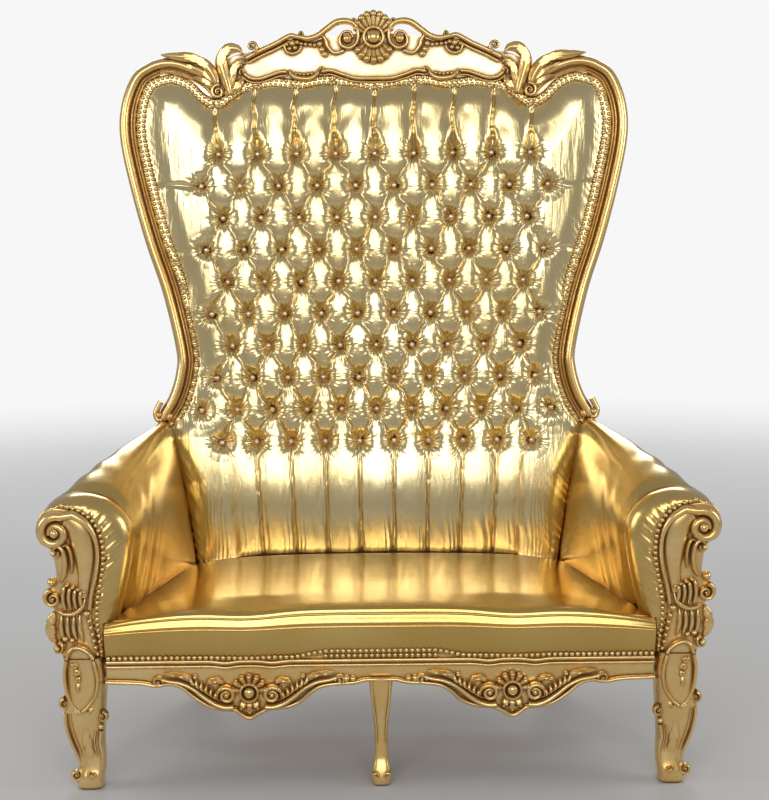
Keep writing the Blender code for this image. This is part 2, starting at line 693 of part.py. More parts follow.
def front_leg():
    """A carved cabriole leg: an oval cartouche on the knee, raised edges and a scrolled toe."""
    p = leg_point
    bm = bmesh.new()
    rings = []
    for z, x, half_x, y, half_y in FRONT_LEG:
        middle = p(x, z)
        rings.append(oval(middle.x, y, half_x, half_y, middle.y))
    loft(bm, rings)
    knee = p(0.659, 0.258)
    rod(bm, ring_line(knee, 0.024, 0.030), 0.006, 0.008, KNEE_FACE)
    for k in range(5):
        turn = 2 * math.pi * k / 5 + math.pi / 2
        knob(bm, knee + Vector((math.cos(turn), math.sin(turn))) * 0.010, 0.007, 0.007, KNEE_FACE - 0.003)
    outer = smooth([p(0.699, 0.285), p(0.702, 0.240), p(0.706, 0.210)])
    rod(bm, outer + volute(p(0.704, 0.193), 0.015, 80, -1.1), 0.006, 0.009, LEG_FACE)
    inner = smooth([p(0.619, 0.285), p(0.616, 0.240), p(0.613, 0.205)])
    rod(bm, inner + volute(p(0.618, 0.172), 0.013, 110, 1.1), 0.006, 0.009, LEG_FACE)
    foot_outer = smooth([p(0.706, 0.155), p(0.700, 0.118), p(0.684, 0.080), p(0.672, 0.055)])
    rod(bm, foot_outer + volute(p(0.680, 0.036), 0.016, 130, 1.2), 0.006, 0.010, LEG_FACE - 0.002)
    foot_inner = smooth([p(0.622, 0.150), p(0.624, 0.118), p(0.621, 0.080), p(0.626, 0.040)])
    rod(bm, foot_inner, 0.006, 0.009, LEG_FACE)
    rod(bm, smooth([p(0.660, 0.205), p(0.664, 0.170), p(0.660, 0.130), p(0.648, 0.080)]), 0.013, 0.010,
        LEG_FACE - 0.003, leafy)
    cuts = [((0, 0, 0), (0, 0, -1)), ((0, 0, RAIL_TOP), (0, 0, 1)), ((0, LEG_REAR, 0), (0, 1, 0)),
            ((LEG_INNER + GAP, 0, 0), (-1, 0, 0))]
    return carved(bm, 640, cuts)


# Height, half width, depth of the middle and half depth of the slim middle leg.
MIDDLE_LEG = [(0.0, 0.016, -0.405, 0.018), (0.012, 0.021, -0.405, 0.024), (0.034, 0.022, -0.402, 0.023),
              (0.060, 0.016, -0.395, 0.016), (0.101, 0.0145, -0.391, 0.015), (0.156, 0.018, -0.389, 0.018),
              (0.215, 0.025, -0.389, 0.022), (0.246, 0.027, -0.389, 0.024)]


def middle_leg():
    """A slim turned-in leg under the middle of the front rail."""
    bm = bmesh.new()
    rings = []
    for z, half_x, y, half_y in MIDDLE_LEG:
        rings.append(oval(0.0, y, half_x, half_y, z / MIDDLE_LEG[-1][0] * (RAIL_BOTTOM - GAP), 12))
    loft(bm, rings)
    return bm


def back_leg():
    """A plain sabre leg that sweeps back from under the back rail."""
    top = RAIL_TOP - SIDE_RAIL_DROP - GAP
    start = back_y(RAIL_TOP) - PAD_BULGE + BACK_LEG_HALF
    bm = bmesh.new()
    rings = []
    for k in range(9):
        share = k / 8
        y = start + BACK_LEG_SWEEP * (1 - share) ** 1.7
        half = BACK_LEG_HALF * (0.8 + 0.2 * share)
        rings.append(oval(BACK_LEG_X, y, half, half, share * top, 8))
    loft(bm, rings)
    return bm


# The seat frame.

RAIL_LOWER = [(0.640, 0.000), (0.536, -0.003), (0.500, -0.009), (0.471, -0.005), (0.441, -0.013),
              (0.415, -0.034), (0.384, -0.055), (0.354, -0.064), (0.324, -0.066), (0.308, -0.077),
              (0.293, -0.085), (0.277, -0.076), (0.250, -0.064), (0.216, -0.061), (0.185, -0.050),
              (0.162, -0.030), (0.138, -0.015), (0.108, -0.009), (0.060, -0.006), (0.035, 0.000),
              (0.0, 0.0)]


def front_rail():
    """The front rail: a straight board with two carved pendants, each a shell, a jewel and leaf sprays."""
    p = rail_point
    bm = bmesh.new()
    lower = [p(x, z) for x, z in RAIL_LOWER]
    slab(bm, [Vector((0, RAIL_TOP + VOXEL)), Vector((lower[0].x, RAIL_TOP + VOXEL))] + lower, FRONT_FACE,
         FRONT_FACE + RAIL_DEPTH + VOXEL)
    rod(bm, [p(0.0, 0.014), p(0.3, 0.014), p(0.630, 0.014)], 0.008, 0.008, FRONT_FACE)
    pendant = p(DRAWN_PENDANT, -0.030)
    for k in range(-3, 4):
        angle = math.radians(90 + 24 * k)
        ray = Vector((math.cos(angle), math.sin(angle)))
        rod(bm, [pendant + ray * 0.022, pendant + ray * 0.036, pendant + ray * 0.046], 0.007, 0.009,
            FRONT_FACE - 0.006)
    rod(bm, ring_line(pendant, 0.021, 0.021), 0.005, 0.009, FRONT_FACE - 0.010)
    knob(bm, pendant, 0.014, 0.014, FRONT_FACE - 0.010)
    for way in (-1, 1):
        centre = pendant + Vector((way * 0.050, 0.001))
        rod(bm, volute(centre, 0.022, 90 - way * 110, way * 1.3, 0.3), 0.006, 0.010, FRONT_FACE - 0.006)
        sprays = [[(0.030, -0.026), (0.080, -0.030), (0.118, -0.012), (0.135, 0.004)],
                  [(0.062, -0.012), (0.100, 0.002), (0.150, 0.000), (0.195, 0.010)],
                  [(0.020, -0.044), (0.060, -0.036), (0.095, -0.030), (0.118, -0.018)]]
        for spray in sprays:
            line = [pendant + Vector((way * x, z)) for x, z in spray]
            rod(bm, smooth(line), 0.012, 0.012, FRONT_FACE - 0.004, leafy)
        drop = [pendant + Vector((way * 0.022, -0.026)), pendant + Vector((way * 0.012, -0.038)),
                pendant + Vector((0.0, -0.052))]
        rod(bm, smooth(drop), 0.009, 0.011, FRONT_FACE - 0.004, fading)
        end = pendant + Vector((way * 0.203, 0.022))
        rod(bm, volute(end, 0.012, 90 + way * 90, -way * 1.1), 0.005, 0.009, FRONT_FACE - 0.003)
    mirrored(bm)
    cuts = [((0, FRONT_FACE + RAIL_DEPTH, 0), (0, 1, 0)), ((0, 0, RAIL_TOP), (0, 0, 1)),
            ((LEG_INNER, 0, 0), (1, 0, 0)), ((-LEG_INNER, 0, 0), (-1, 0, 0))]
    return carved(bm, 1300, cuts)


def prism(outline, low, high):
    """A level board with the given plan."""
    bm = bmesh.new()
    loft(bm, [[(p[0], p[1], low) for p in outline], [(p[0], p[1], high) for p in outline]])
    return bm


def rail_middle(y):
    """How far from the middle a side rail runs, at a depth: it follows the foot of the padded arm."""
    ring = arm_ring(arm_share(y))
    return (ring[0][0] + ring[-1][0]) / 2


def side_rail():
    """A plain rail from a front leg to the back rail."""
    front = LEG_REAR + GAP
    rear = back_y(RAIL_TOP) - PAD_BULGE - GAP
    half = RAIL_THICK / 2
    plan = [(rail_middle(front) + half, front), (rail_middle(rear) + half, rear),
            (rail_middle(rear) - half, rear), (rail_middle(front) - half, front)]
    return prism(plan, RAIL_TOP - SIDE_RAIL_DROP, RAIL_TOP)


def back_rail():
    """A plain rail under the back, between and behind the side rails."""
    front = back_y(RAIL_TOP) - PAD_BULGE
    reach = rail_middle(front) + RAIL_THICK / 2
    rear = BACK_FACE + FRAME_DEPTH
    bm = prism([(-reach, front), (reach, front), (reach, rear), (-reach, rear)],
               RAIL_TOP - SIDE_RAIL_DROP, RAIL_TOP)
    at_back_plane(bm, FRAME_DEPTH)
    return bm


def seat_base():
    """The board under the seat, let in between the rails and the front legs."""
    front = FRONT_FACE + RAIL_DEPTH + GAP
    behind_leg = LEG_REAR + GAP
    rear = back_y(RAIL_TOP) - PAD_BULGE - GAP
    inset = RAIL_THICK / 2 + GAP
    side = [(LEG_INNER, front), (LEG_INNER, behind_leg), (rail_middle(behind_leg) - inset, behind_leg),
            (rail_middle(rear) - inset, rear)]
    plan = side + [(-x, y) for x, y in reversed(side)]
    return prism(plan, RAIL_TOP - SEAT_BASE_THICK, RAIL_TOP)


def seat_ring(y, half, top):
    """A ring across the seat: a flat underside, upright sides and a crowned top."""
    low = RAIL_TOP + GAP
    ring = [(-half, y, low)]
    for k in range(-4, 5):
        share = k / 4
        drop = SEAT_DROP * share ** 2
        edge = SEAT_CORNER if abs(k) == 4 else 0.0
        ring.append((half * share, y, top - drop - edge))
    return ring + [(half, y, low)]


def seat_pad():
    """The seat: a crowned cushion with a rounded front edge over straight boxing."""
    ahead = ARM_PAD_FRONT - SOFT_GAP
    wide = LEG_INNER + SEAT_NOTCH
    rings = [seat_ring(FRONT_FACE, wide, SEAT_H - 0.050), seat_ring(FRONT_FACE + 0.002, wide, SEAT_H - 0.022),
             seat_ring(FRONT_FACE + 0.010, wide, SEAT_H - 0.006), seat_ring(ahead, wide, SEAT_H + SEAT_LIP)]
    rear = back_y(SEAT_H)
    stations = [ahead + SOFT_GAP / 2] + [ARM_PAD_FRONT + (rear - ARM_PAD_FRONT) * k / 7 for k in range(1, 8)]
    for y in stations:
        half = arm_ring(arm_share(y))[1][0] - 2 * SOFT_GAP
        lip = SEAT_LIP * max(0.0, 1 - arm_share(y) * 2)
        rings.append(seat_ring(y, half, SEAT_H + lip))
    bm = bmesh.new()
    loft(bm, rings)
    at_back_plane(bm, -PAD_BULGE - SOFT_GAP)
    return bm


# The whole throne.

pieces = [
    place("crest_rail", leaned(crest_rail()), GILT_FINISH),
    place("back_stile_right", leaned(back_stile()), GILT_FINISH),
    place("back_stile_left", flipped(leaned(back_stile())), GILT_FINISH),
    place("back_pad", leaned(back_pad()), SOFT_FINISH),
    place("back_panel", leaned(back_panel()), SOFT_FINISH),
    place("arm_pad_right", arm_pad(), SOFT_FINISH),
    place("arm_pad_left", flipped(arm_pad()), SOFT_FINISH),
    place("arm_front_right", arm_front(), GILT_FINISH),
    place("arm_front_left", flipped(arm_front()), GILT_FINISH),
    place("front_leg_right", front_leg(), GILT_FINISH),
    place("front_leg_left", flipped(front_leg()), GILT_FINISH),
    place("middle_leg", middle_leg(), GILT_FINISH),
    place("back_leg_right", back_leg(), GILT_FINISH),
    place("back_leg_left", flipped(back_leg()), GILT_FINISH),
    place("front_rail", front_rail(), GILT_FINISH),
    place("side_rail_right", side_rail(), WOOD_FINISH),
    place("side_rail_left", flipped(side_rail()), WOOD_FINISH),
    place("back_rail", back_rail(), WOOD_FINISH),
    place("seat_base", seat_base(), WOOD_FINISH),
    place("seat_pad", seat_pad(), SOFT_FINISH),
]

# The origin is on the floor, in the middle of the part's width and depth.
depths = [vert.co.y for piece in pieces for vert in piece.data.vertices]
for piece in pieces:
    for vert in piece.data.vertices:
        vert.co.y -= (min(depths) + max(depths)) / 2
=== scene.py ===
# %% [markdown]
# # A gilt throne for two
#
# This lesson dresses the CAD model of a wide rococo throne: a carved and gilded frame, a
# deep-buttoned back, two padded arms and a padded seat, all under metallic gold leatherette.
# The CAD model is loaded first as a fixed frame. Nothing in it is moved. New pieces go on top
# of it, and each one says which CAD part it stands for.
#
# X runs to the right as seen from the front, Y to the back and Z up, all in metres.

# %% Load the frame
import math

import bmesh
import bpy
import numpy as np
from mathutils import Matrix, Vector


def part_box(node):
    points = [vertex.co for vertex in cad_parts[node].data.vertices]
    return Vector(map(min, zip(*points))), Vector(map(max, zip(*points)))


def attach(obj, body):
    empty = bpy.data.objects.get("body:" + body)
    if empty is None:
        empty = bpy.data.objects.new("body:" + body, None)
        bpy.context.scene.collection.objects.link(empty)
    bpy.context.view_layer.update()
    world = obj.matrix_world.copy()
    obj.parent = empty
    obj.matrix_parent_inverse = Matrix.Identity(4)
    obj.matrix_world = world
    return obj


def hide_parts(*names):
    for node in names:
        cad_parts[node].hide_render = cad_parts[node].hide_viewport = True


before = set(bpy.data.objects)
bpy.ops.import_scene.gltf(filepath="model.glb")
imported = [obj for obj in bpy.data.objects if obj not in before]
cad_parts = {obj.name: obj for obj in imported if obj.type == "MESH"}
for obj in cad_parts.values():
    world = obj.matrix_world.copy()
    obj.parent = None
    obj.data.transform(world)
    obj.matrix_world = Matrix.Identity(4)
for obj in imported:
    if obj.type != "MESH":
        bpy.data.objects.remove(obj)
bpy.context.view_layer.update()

for name in sorted(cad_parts):
    low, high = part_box(name)
    print(name, [round(v, 3) for v in low], [round(v, 3) for v in high])

# %% [markdown]
# ## The camera
#
# The throne stands in front of a level camera at about seat-back height, four metres away.
# A long lens keeps its upright lines nearly parallel. The camera looks slightly down and a
# little to one side, so its matrix is built from those two angles and a small roll.

# %% Camera
EYE = Vector((-0.030, -4.014, 1.3278))
YAW, PITCH, ROLL = 0.01177, 0.12637, -0.00732
LENS = 75.6


def add_object(name, data):
    """A new object, put into the scene."""
    made = bpy.data.objects.new(name, data)
    bpy.context.scene.collection.objects.link(made)
    return made


def aim_camera():
    """A camera at the height and angle of the picture."""
    level = math.cos(PITCH)
    forward = Vector((math.sin(YAW) * level, math.cos(YAW) * level, -math.sin(PITCH)))
    right = Vector((math.cos(YAW), -math.sin(YAW), 0.0))
    above = right.cross(forward)
    across = math.cos(ROLL) * right + math.sin(ROLL) * above
    upward = math.cos(ROLL) * above - math.sin(ROLL) * right
    turn = Matrix((across, upward, -forward)).transposed()
    data = bpy.data.cameras.new("Camera")
    data.lens = LENS
    camera = add_object("Camera", data)
    camera.matrix_world = Matrix.Translation(EYE) @ turn.to_4x4()
    bpy.context.scene.camera = camera
    print("camera at", [round(v, 3) for v in EYE])


aim_camera()

# %% [markdown]
# ## Networks of nodes
#
# Every finish, and the room that is mirrored in it, is a small network of nodes. These helpers
# add a node and set its inputs by name: an input gets a number or a colour, or is joined to
# another node's output.

# %% Node helpers
def put(tree, socket, value):
    """Joins a socket to an output, or gives it a number, a vector or a colour."""
    if isinstance(value, bpy.types.NodeSocket):
        tree.links.new(value, socket)
    elif socket.type == "RGBA":
        socket.default_value = (*value, 1.0)
    else:
        socket.default_value = value


def feed(tree, target, **values):
    """Puts values into a node's inputs by name."""
    for label, value in values.items():
        put(tree, target.inputs[label.replace("_", " ")], value)


def node(tree, kind, **values):
    """A new node, with some of its properties and inputs set by name."""
    made = tree.nodes.new(kind)
    for label, value in values.items():
        if hasattr(made, label):
            setattr(made, label, value)
        else:
            feed(tree, made, **{label: value})
    return made


def mix_colours(tree, factor, first, second):
    """Blends two colours; each is an output or a plain colour."""
    made = node(tree, "ShaderNodeMix", data_type="RGBA")
    for index, value in ((0, factor), (6, first), (7, second)):
        put(tree, made.inputs[index], value)
    return made.outputs[2]


def remap(tree, value, low, high, to_low=0.0, to_high=1.0, **more):
    """Stretches a value from one range to another and keeps it there."""
    made = node(tree, "ShaderNodeMapRange", **more, Value=value, From_Min=low, From_Max=high,
                To_Min=to_low, To_Max=to_high)
    return made.outputs["Result"]


def number_math(tree, operation, *values):
    """The result of a sum with numbers."""
    made = node(tree, "ShaderNodeMath", operation=operation)
    for socket, value in zip(made.inputs, values):
        put(tree, socket, value)
    return made.outputs["Value"]


def vector_math(tree, operation, *values):
    """The result of a sum with vectors: a number for a length or a product, else a vector."""
    made = node(tree, "ShaderNodeVectorMath", operation=operation)
    for socket, value in zip(made.inputs, values):
        put(tree, socket, value)
    return made.outputs["Value" if operation in ("LENGTH", "DOT_PRODUCT") else "Vector"]


def own_place(tree):
    """Where a point lies in its object's own space."""
    return node(tree, "ShaderNodeTexCoord").outputs["Object"]


def drawn_noise(tree, stretch, **values):
    """Noise that is denser along some axes than along others."""
    drawn = node(tree, "ShaderNodeMapping", Scale=stretch, Vector=own_place(tree))
    made = node(tree, "ShaderNodeTexNoise", Vector=drawn.outputs["Vector"], **values)
    return made.outputs["Fac"]


def new_material(name):
    """An empty material, its network and its shader."""
    made = bpy.data.materials.new(name)
    made.use_nodes = True
    return made, made.node_tree, made.node_tree.nodes["Principled BSDF"]


# %% [markdown]
# ## Studio
#
# Metallic leatherette shows what is around it. On the real throne each puff carries one broad
# white patch, and its hollows are a dark tan, so the light comes from a single wide window in
# front, a little above the eye, with a dimmer room around it. Weak lamps at the sides and the
# back keep the other views readable.

# %% Floor, world and lamps
def soft_lamp(name, place, target, size, power):
    """A white rectangular lamp that points at a target."""
    data = bpy.data.lights.new(name, "AREA")
    data.shape = "RECTANGLE"
    data.size, data.size_y = size
    data.energy = power
    lamp = add_object(name, data)
    lamp.visible_camera = False
    turn = (Vector(target) - Vector(place)).to_track_quat("-Z", "Y")
    lamp.matrix_world = Matrix.Translation(place) @ turn.to_matrix().to_4x4()


def floor_finish():
    """A pale matt floor that fades out around the throne, so that no edge shows behind it."""
    made, tree, shader = new_material("pale floor")
    reach = vector_math(tree, "LENGTH", own_place(tree))
    fade = remap(tree, reach, 1.6, 7.0, 1.0, 0.0, interpolation_type="SMOOTHSTEP")
    feed(tree, shader, Base_Color=(0.60, 0.60, 0.595), Roughness=0.7, Alpha=fade)
    return made


def studio_world():
    """A dim room lights the throne, while what shows behind it is plain white."""
    world = bpy.data.worlds.new("studio")
    world.use_nodes = True
    tree = world.node_tree
    room = tree.nodes["Background"]
    feed(tree, room, Color=(0.95, 0.96, 1.0), Strength=0.34)
    backdrop = node(tree, "ShaderNodeBackground", Color=(0.93, 0.93, 0.93))
    seen = node(tree, "ShaderNodeLightPath").outputs["Is Camera Ray"]
    choice = node(tree, "ShaderNodeMixShader")
    for socket, value in zip(choice.inputs, (seen, room.outputs[0], backdrop.outputs[0])):
        put(tree, socket, value)
    feed(tree, tree.nodes["World Output"], Surface=choice.outputs[0])
    bpy.context.scene.world = world


def mesh_of(name, bm):
    """Turns a finished bmesh into a mesh."""
    mesh = bpy.data.meshes.new(name)
    bm.to_mesh(mesh)
    bm.free()
    return mesh


def build_studio():
    bm = bmesh.new()
    bmesh.ops.create_circle(bm, cap_ends=True, segments=96, radius=14.0)
    floor = add_object("floor", mesh_of("floor", bm))
    floor.data.materials.append(floor_finish())
    studio_world()
    soft_lamp("window", (-0.3, -4.6, 3.00), (0, 0, 1.1), (4.6, 1.9), 92)
    soft_lamp("side left", (-3.6, -0.4, 2.0), (0, 0, 0.9), (1.6, 1.6), 26)
    soft_lamp("side right", (3.6, -0.4, 2.0), (0, 0, 0.9), (1.6, 1.6), 26)
    soft_lamp("back", (0.0, 3.6, 2.4), (0, 0, 1.0), (3.4, 1.4), 52)


build_studio()
bpy.context.scene.view_settings.view_transform = "Standard"
print("floor, world and lamps")

# %% [markdown]
# ## Effects shared by several finishes
#
# Two effects turn up in more than one material, so each is a shader node group. The first finds
# the places that light and a rag can't reach, by ambient occlusion: the finishes paint shade into
# these bottoms of the carving, button hollows and creases, and the gilding's brown glazing stays
# there too. *Grain* gives a surface its fine unevenness, and a slow drift of tone across it.

# %% The groups
def group(name, inputs, outputs):
    """An empty node group with named number inputs and outputs."""
    tree = bpy.data.node_groups.new(name, "ShaderNodeTree")
    for label, value in inputs.items():
        socket = tree.interface.new_socket(label, in_out="INPUT", socket_type="NodeSocketFloat")
        socket.default_value = value
    for label in outputs:
        tree.interface.new_socket(label, in_out="OUTPUT", socket_type="NodeSocketFloat")
    return tree, tree.nodes.new("NodeGroupInput").outputs, tree.nodes.new("NodeGroupOutput")


def use_group(tree, shared, **values):
    """Puts a group into a network and gives its outputs."""
    return node(tree, "ShaderNodeGroup", node_tree=shared, **values).outputs


def occlusion_shade_group():
    """1 in hollows that light can't reach, where shade is painted; 0 on open surfaces, with a
    ragged limit between.
    """
    tree, given, result = group("Recess", {"Reach": 0.012, "Ragged": 0.3}, ["Recess"])
    hollow = node(tree, "ShaderNodeAmbientOcclusion", samples=6, Distance=given["Reach"])
    noise = node(tree, "ShaderNodeTexNoise", Vector=own_place(tree), Scale=70.0, Detail=4.0)
    shift = number_math(tree, "SUBTRACT", noise.outputs["Fac"], 0.5)
    amount = number_math(tree, "MULTIPLY_ADD", shift, given["Ragged"], hollow.outputs["AO"])
    feed(tree, result, Recess=remap(tree, amount, 0.35, 0.95, 1.0, 0.0))
    return tree


def grain_group():
    """Fine unevenness, and a slow drift of tone."""
    inputs = {"Fine": 300.0, "Slow": 4.0, "Rough": 0.6}
    tree, given, result = group("Grain", inputs, ["Fine", "Slow"])
    place = own_place(tree)
    for label in ("Fine", "Slow"):
        noise = node(tree, "ShaderNodeTexNoise", Vector=place, Scale=given[label], Detail=5.0,
                     Roughness=given["Rough"])
        feed(tree, result, **{label: noise.outputs["Fac"]})
    return tree


OCCLUSION_SHADE = occlusion_shade_group()
GRAIN = grain_group()

# %% [markdown]
# ## Gilding
#
# The frame is carved wood under gold paint that has been burnished on the high places. A brown
# glazing was wiped over it and stays in the hollows, and the brown there is darkened further as
# painted shade. The burnished gold is nearly a mirror, and the glazed hollows are rough and hardly
# metallic, so the same mask drives all three values.

# %% Gilt finishes
def bump(tree, shader, height, distance, strength=1.0, after=None):
    """Feeds a height into the shader's normal, on top of another bump if one is given."""
    made = node(tree, "ShaderNodeBump", Height=height, Distance=distance, Strength=strength)
    if after is not None:
        feed(tree, made, Normal=after)
    feed(tree, shader, Normal=made.outputs["Normal"])
    return made.outputs["Normal"]


def gilding(name, bright, deep, glaze_and_shade, roughness, shade_reach=0.012):
    """Gold that drifts between two tones, with dull brown glazing and painted shade in its hollows.
    """
    made, tree, shader = new_material(name)
    shade_mask = use_group(tree, OCCLUSION_SHADE, Reach=shade_reach, Ragged=0.35)["Recess"]
    grain = use_group(tree, GRAIN, Fine=420.0, Slow=9.0, Rough=0.65)
    gold = mix_colours(tree, remap(tree, grain["Slow"], 0.35, 0.65), bright, deep)
    polish = remap(tree, grain["Slow"], 0.3, 0.7, roughness, roughness + 0.10)
    # In the hollows the gold turns to the brown of the glazing, darkened as painted shade.
    feed(tree, shader, Base_Color=mix_colours(tree, shade_mask, gold, glaze_and_shade),
         Roughness=number_math(tree, "MULTIPLY_ADD", shade_mask, 0.30, polish),
         Metallic=remap(tree, shade_mask, 0.0, 1.0, 0.96, 0.45))
    slow = bump(tree, shader, grain["Slow"], 0.0012, 0.5)
    bump(tree, shader, grain["Fine"], 0.0004, 0.35, slow)
    return made


# The third colour of each gilding is its brown glazing with painted shade, for the hollows.
GILT = gilding("antique gilding", (0.94, 0.69, 0.32), (0.87, 0.57, 0.20),
               (0.30, 0.14, 0.035), 0.22, 0.008)
PLAIN_GILT = gilding("burnished gilding", (0.90, 0.76, 0.49), (0.82, 0.65, 0.37),
                     (0.30, 0.16, 0.05), 0.28)
NAIL_GILT = gilding("nail gold", (0.92, 0.70, 0.34), (0.80, 0.56, 0.22),
                    (0.24, 0.12, 0.035), 0.20, 0.005)

# %% [markdown]
# ## Leatherette
#
# The cover is a thin metallic foil on cloth under a clear film. The foil gives the gold mirror,
# the film a white glint, and stretched places are paler. The grain is very fine, with soft
# drawing lines where the cover is pulled. The back also has streaks about its buttons. The
# button hollows, the margins beside the nails and the creases get a darker colour as painted
# shade, and the seat's cover is a deeper amber that paints in the reflection of the gold back.

# %% Leatherette
def pucker_height(tree):
    """Streaks out from each button; the UV map "buttons" holds the way from the nearest one."""
    way = node(tree, "ShaderNodeUVMap", uv_map="buttons").outputs["UV"]
    parts = node(tree, "ShaderNodeSeparateXYZ", Vector=own_place(tree)).outputs
    flat = node(tree, "ShaderNodeCombineXYZ", X=parts["X"], Y=parts["Z"]).outputs["Vector"]
    button = vector_math(tree, "SUBTRACT", flat, way)
    seed = vector_math(tree, "DOT_PRODUCT", button, (37.0, 91.0, 0.0))
    turn = vector_math(tree, "NORMALIZE", way)
    wide = vector_math(tree, "MULTIPLY", turn, (2.4, 2.4, 0.0))
    streak = node(tree, "ShaderNodeTexNoise", noise_dimensions="4D", Vector=wide, W=seed,
                  Scale=1.6, Detail=1.0, Roughness=0.5)
    reach = vector_math(tree, "LENGTH", way)
    rising = remap(tree, reach, 0.005, 0.014)
    falling = remap(tree, reach, 0.020, 0.046, 1.0, 0.0)
    window = number_math(tree, "MULTIPLY", rising, falling)
    sharp = remap(tree, streak.outputs["Fac"], 0.36, 0.64)
    return number_math(tree, "MULTIPLY", window, sharp)


def leatherette(name, pale, deep, hollow, drawing, puckered=False, reach=0.022):
    """Foil under a clear film; drawing says how dense its lines are along X, Y and Z."""
    made, tree, shader = new_material(name)
    shade_mask = use_group(tree, OCCLUSION_SHADE, Reach=reach, Ragged=0.10)["Recess"]
    grain = use_group(tree, GRAIN, Fine=650.0, Slow=3.0, Rough=0.5)
    gold = mix_colours(tree, remap(tree, grain["Slow"], 0.38, 0.62), pale, deep)
    # The hollow colour is painted shade, laid where the occlusion mask finds button hollows, nail
    # margins and creases.
    feed(tree, shader, Base_Color=mix_colours(tree, shade_mask, gold, hollow),
         Roughness=remap(tree, grain["Slow"], 0.3, 0.7, 0.19, 0.27),
         Metallic=0.97, Coat_Weight=0.5, Coat_Roughness=0.10)
    lines = drawn_noise(tree, drawing, Scale=1.0, Detail=4.0, Roughness=0.5, Distortion=0.4)
    soft = bump(tree, shader, lines, 0.003, 0.45)
    if puckered:
        soft = bump(tree, shader, pucker_height(tree), 0.0030, 1.0, soft)
    bump(tree, shader, grain["Fine"], 0.0002, 0.30, soft)
    return made


# The third colour of each cover is painted shade for its hollows and creases.
COVER = leatherette("gold leatherette of the back", (0.84, 0.69, 0.36), (0.79, 0.61, 0.28),
                    (0.72, 0.52, 0.23), (85.0, 12.0, 13.0), True, 0.018)
ARM_COVER = leatherette("gold leatherette of the arms", (0.80, 0.57, 0.21), (0.73, 0.49, 0.155),
                        (0.58, 0.34, 0.09), (9.0, 9.0, 9.0))
# The seat's cover is the same leatherette in a deeper, darker amber: painted reflection of the gold
# back, and painted shade.
SEAT_COVER_WITH_PAINTED_REFLECTION = leatherette("gold leatherette of the seat, painted reflection and shade", (0.74, 0.51, 0.155), (0.65, 0.42, 0.105),
                         (0.48, 0.26, 0.06), (7.0, 9.0, 9.0))

# %% [markdown]
# ## Bare wood
#
# The side and back rails and the board under the seat are left plain. Long narrow bands of two
# browns along the board's length make the grain.

# %% Bare wood
def planed_wood():
    made, tree, shader = new_material("planed wood")
    rings = drawn_noise(tree, (1.5, 14.0, 30.0), Scale=4.0, Detail=7.0, Distortion=1.2)
    band = remap(tree, rings, 0.35, 0.65)
    feed(tree, shader, Base_Color=mix_colours(tree, band, (0.46, 0.31, 0.18), (0.27, 0.16, 0.085)),
         Roughness=remap(tree, rings, 0.3, 0.7, 0.55, 0.8))
    bump(tree, shader, rings, 0.0008, 0.6)
    return made


WOOD = planed_wood()
for name in ("side_rail_left", "side_rail_right", "back_rail", "seat_base"):
    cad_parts[name].material_slots[0].material = WOOD
print("finishes:", sorted(made.name for made in bpy.data.materials))

# %% [markdown]
# ## How carving is drawn
#
# Each moulding, scroll and leaf follows a line in the face of the throne. A line is drawn
# through a few points as a smooth curve, or wound as a spiral. A flat grid is then rolled
# around the line into a closed bar, so one tool makes mouldings, scrolls and leaves, and only
# the cross-section changes. The bars overlap as the carver's forms do, and their crossings
# stay crisp.

# %% Lines
def smooth(points, steps=8):
    """A smooth curve through the points, with a number of steps between each two."""
    knots = [Vector(p) for p in points]
    ends = [2 * knots[0] - knots[1], *knots, 2 * knots[-1] - knots[-2]]
    line = []
    for a, b, c, d in zip(ends, ends[1:], ends[2:], ends[3:]):
        for k in range(steps):
            t = k / steps
            bend = (2 * a - 5 * b + 4 * c - d) * t * t + (3 * b - a - 3 * c + d) * t ** 3
            line.append((2 * b + (c - a) * t + bend) / 2)
    return line + [knots[-1]]


def volute(eye, radius, start, turns, inner=0.3):
    """A spiral that winds inward about its eye; negative turns go clockwise."""
    count = max(14, round(abs(turns) * 26))
    line = []
    for k in range(count + 1):
        angle = math.radians(start) + 2 * math.pi * turns * k / count
        reach = radius * inner ** (k / count)
        line.append(Vector((eye[0] + reach * math.cos(angle), eye[1] + reach * math.sin(angle))))
    return line


def sideways(line, i):
    """The direction across a line at one of its points, to its left."""
    ahead = line[min(i + 1, len(line) - 1)] - line[max(i - 1, 0)]
    return Vector((-ahead.y, ahead.x)).normalized()


def offset(line, distance):
    """A line moved sideways in its own plane, to its left for a positive distance."""
    return [point + sideways(line, i) * distance for i, point in enumerate(line)]


def towards(degrees):
    """The direction of an angle in the face of the throne."""
    return Vector((math.cos(math.radians(degrees)), math.sin(math.radians(degrees))))


def circle(centre, radius, count):
    """Points round a circle; the last one is the first one again."""
    turns = np.linspace(0, 2 * math.pi, count)
    return [centre + Vector((math.cos(a), math.sin(a))) * radius for a in turns]


def whole(half):
    """A closed outline from its right half, which ends on the middle line."""
    half[-1].x = 0.0
    return half + [Vector((-p.x, p.y)) for p in reversed(half[:-1])]


def spaced(line, pitch):
    """Points along a line at an even pitch, with the direction of the line at each."""
    lengths = [0.0]
    for a, b in zip(line, line[1:]):
        lengths.append(lengths[-1] + (b - a).length)
    count = max(1, round(lengths[-1] / pitch))
    found, seat = [], 0
    for k in range(count + 1):
        goal = min(lengths[-1] * k / count, lengths[-1] - 1e-9)
        while lengths[seat + 1] < goal:
            seat += 1
        a, b = line[seat], line[seat + 1]
        share = (goal - lengths[seat]) / (lengths[seat + 1] - lengths[seat])
        found.append((a.lerp(b, share), (b - a).normalized()))
    return found


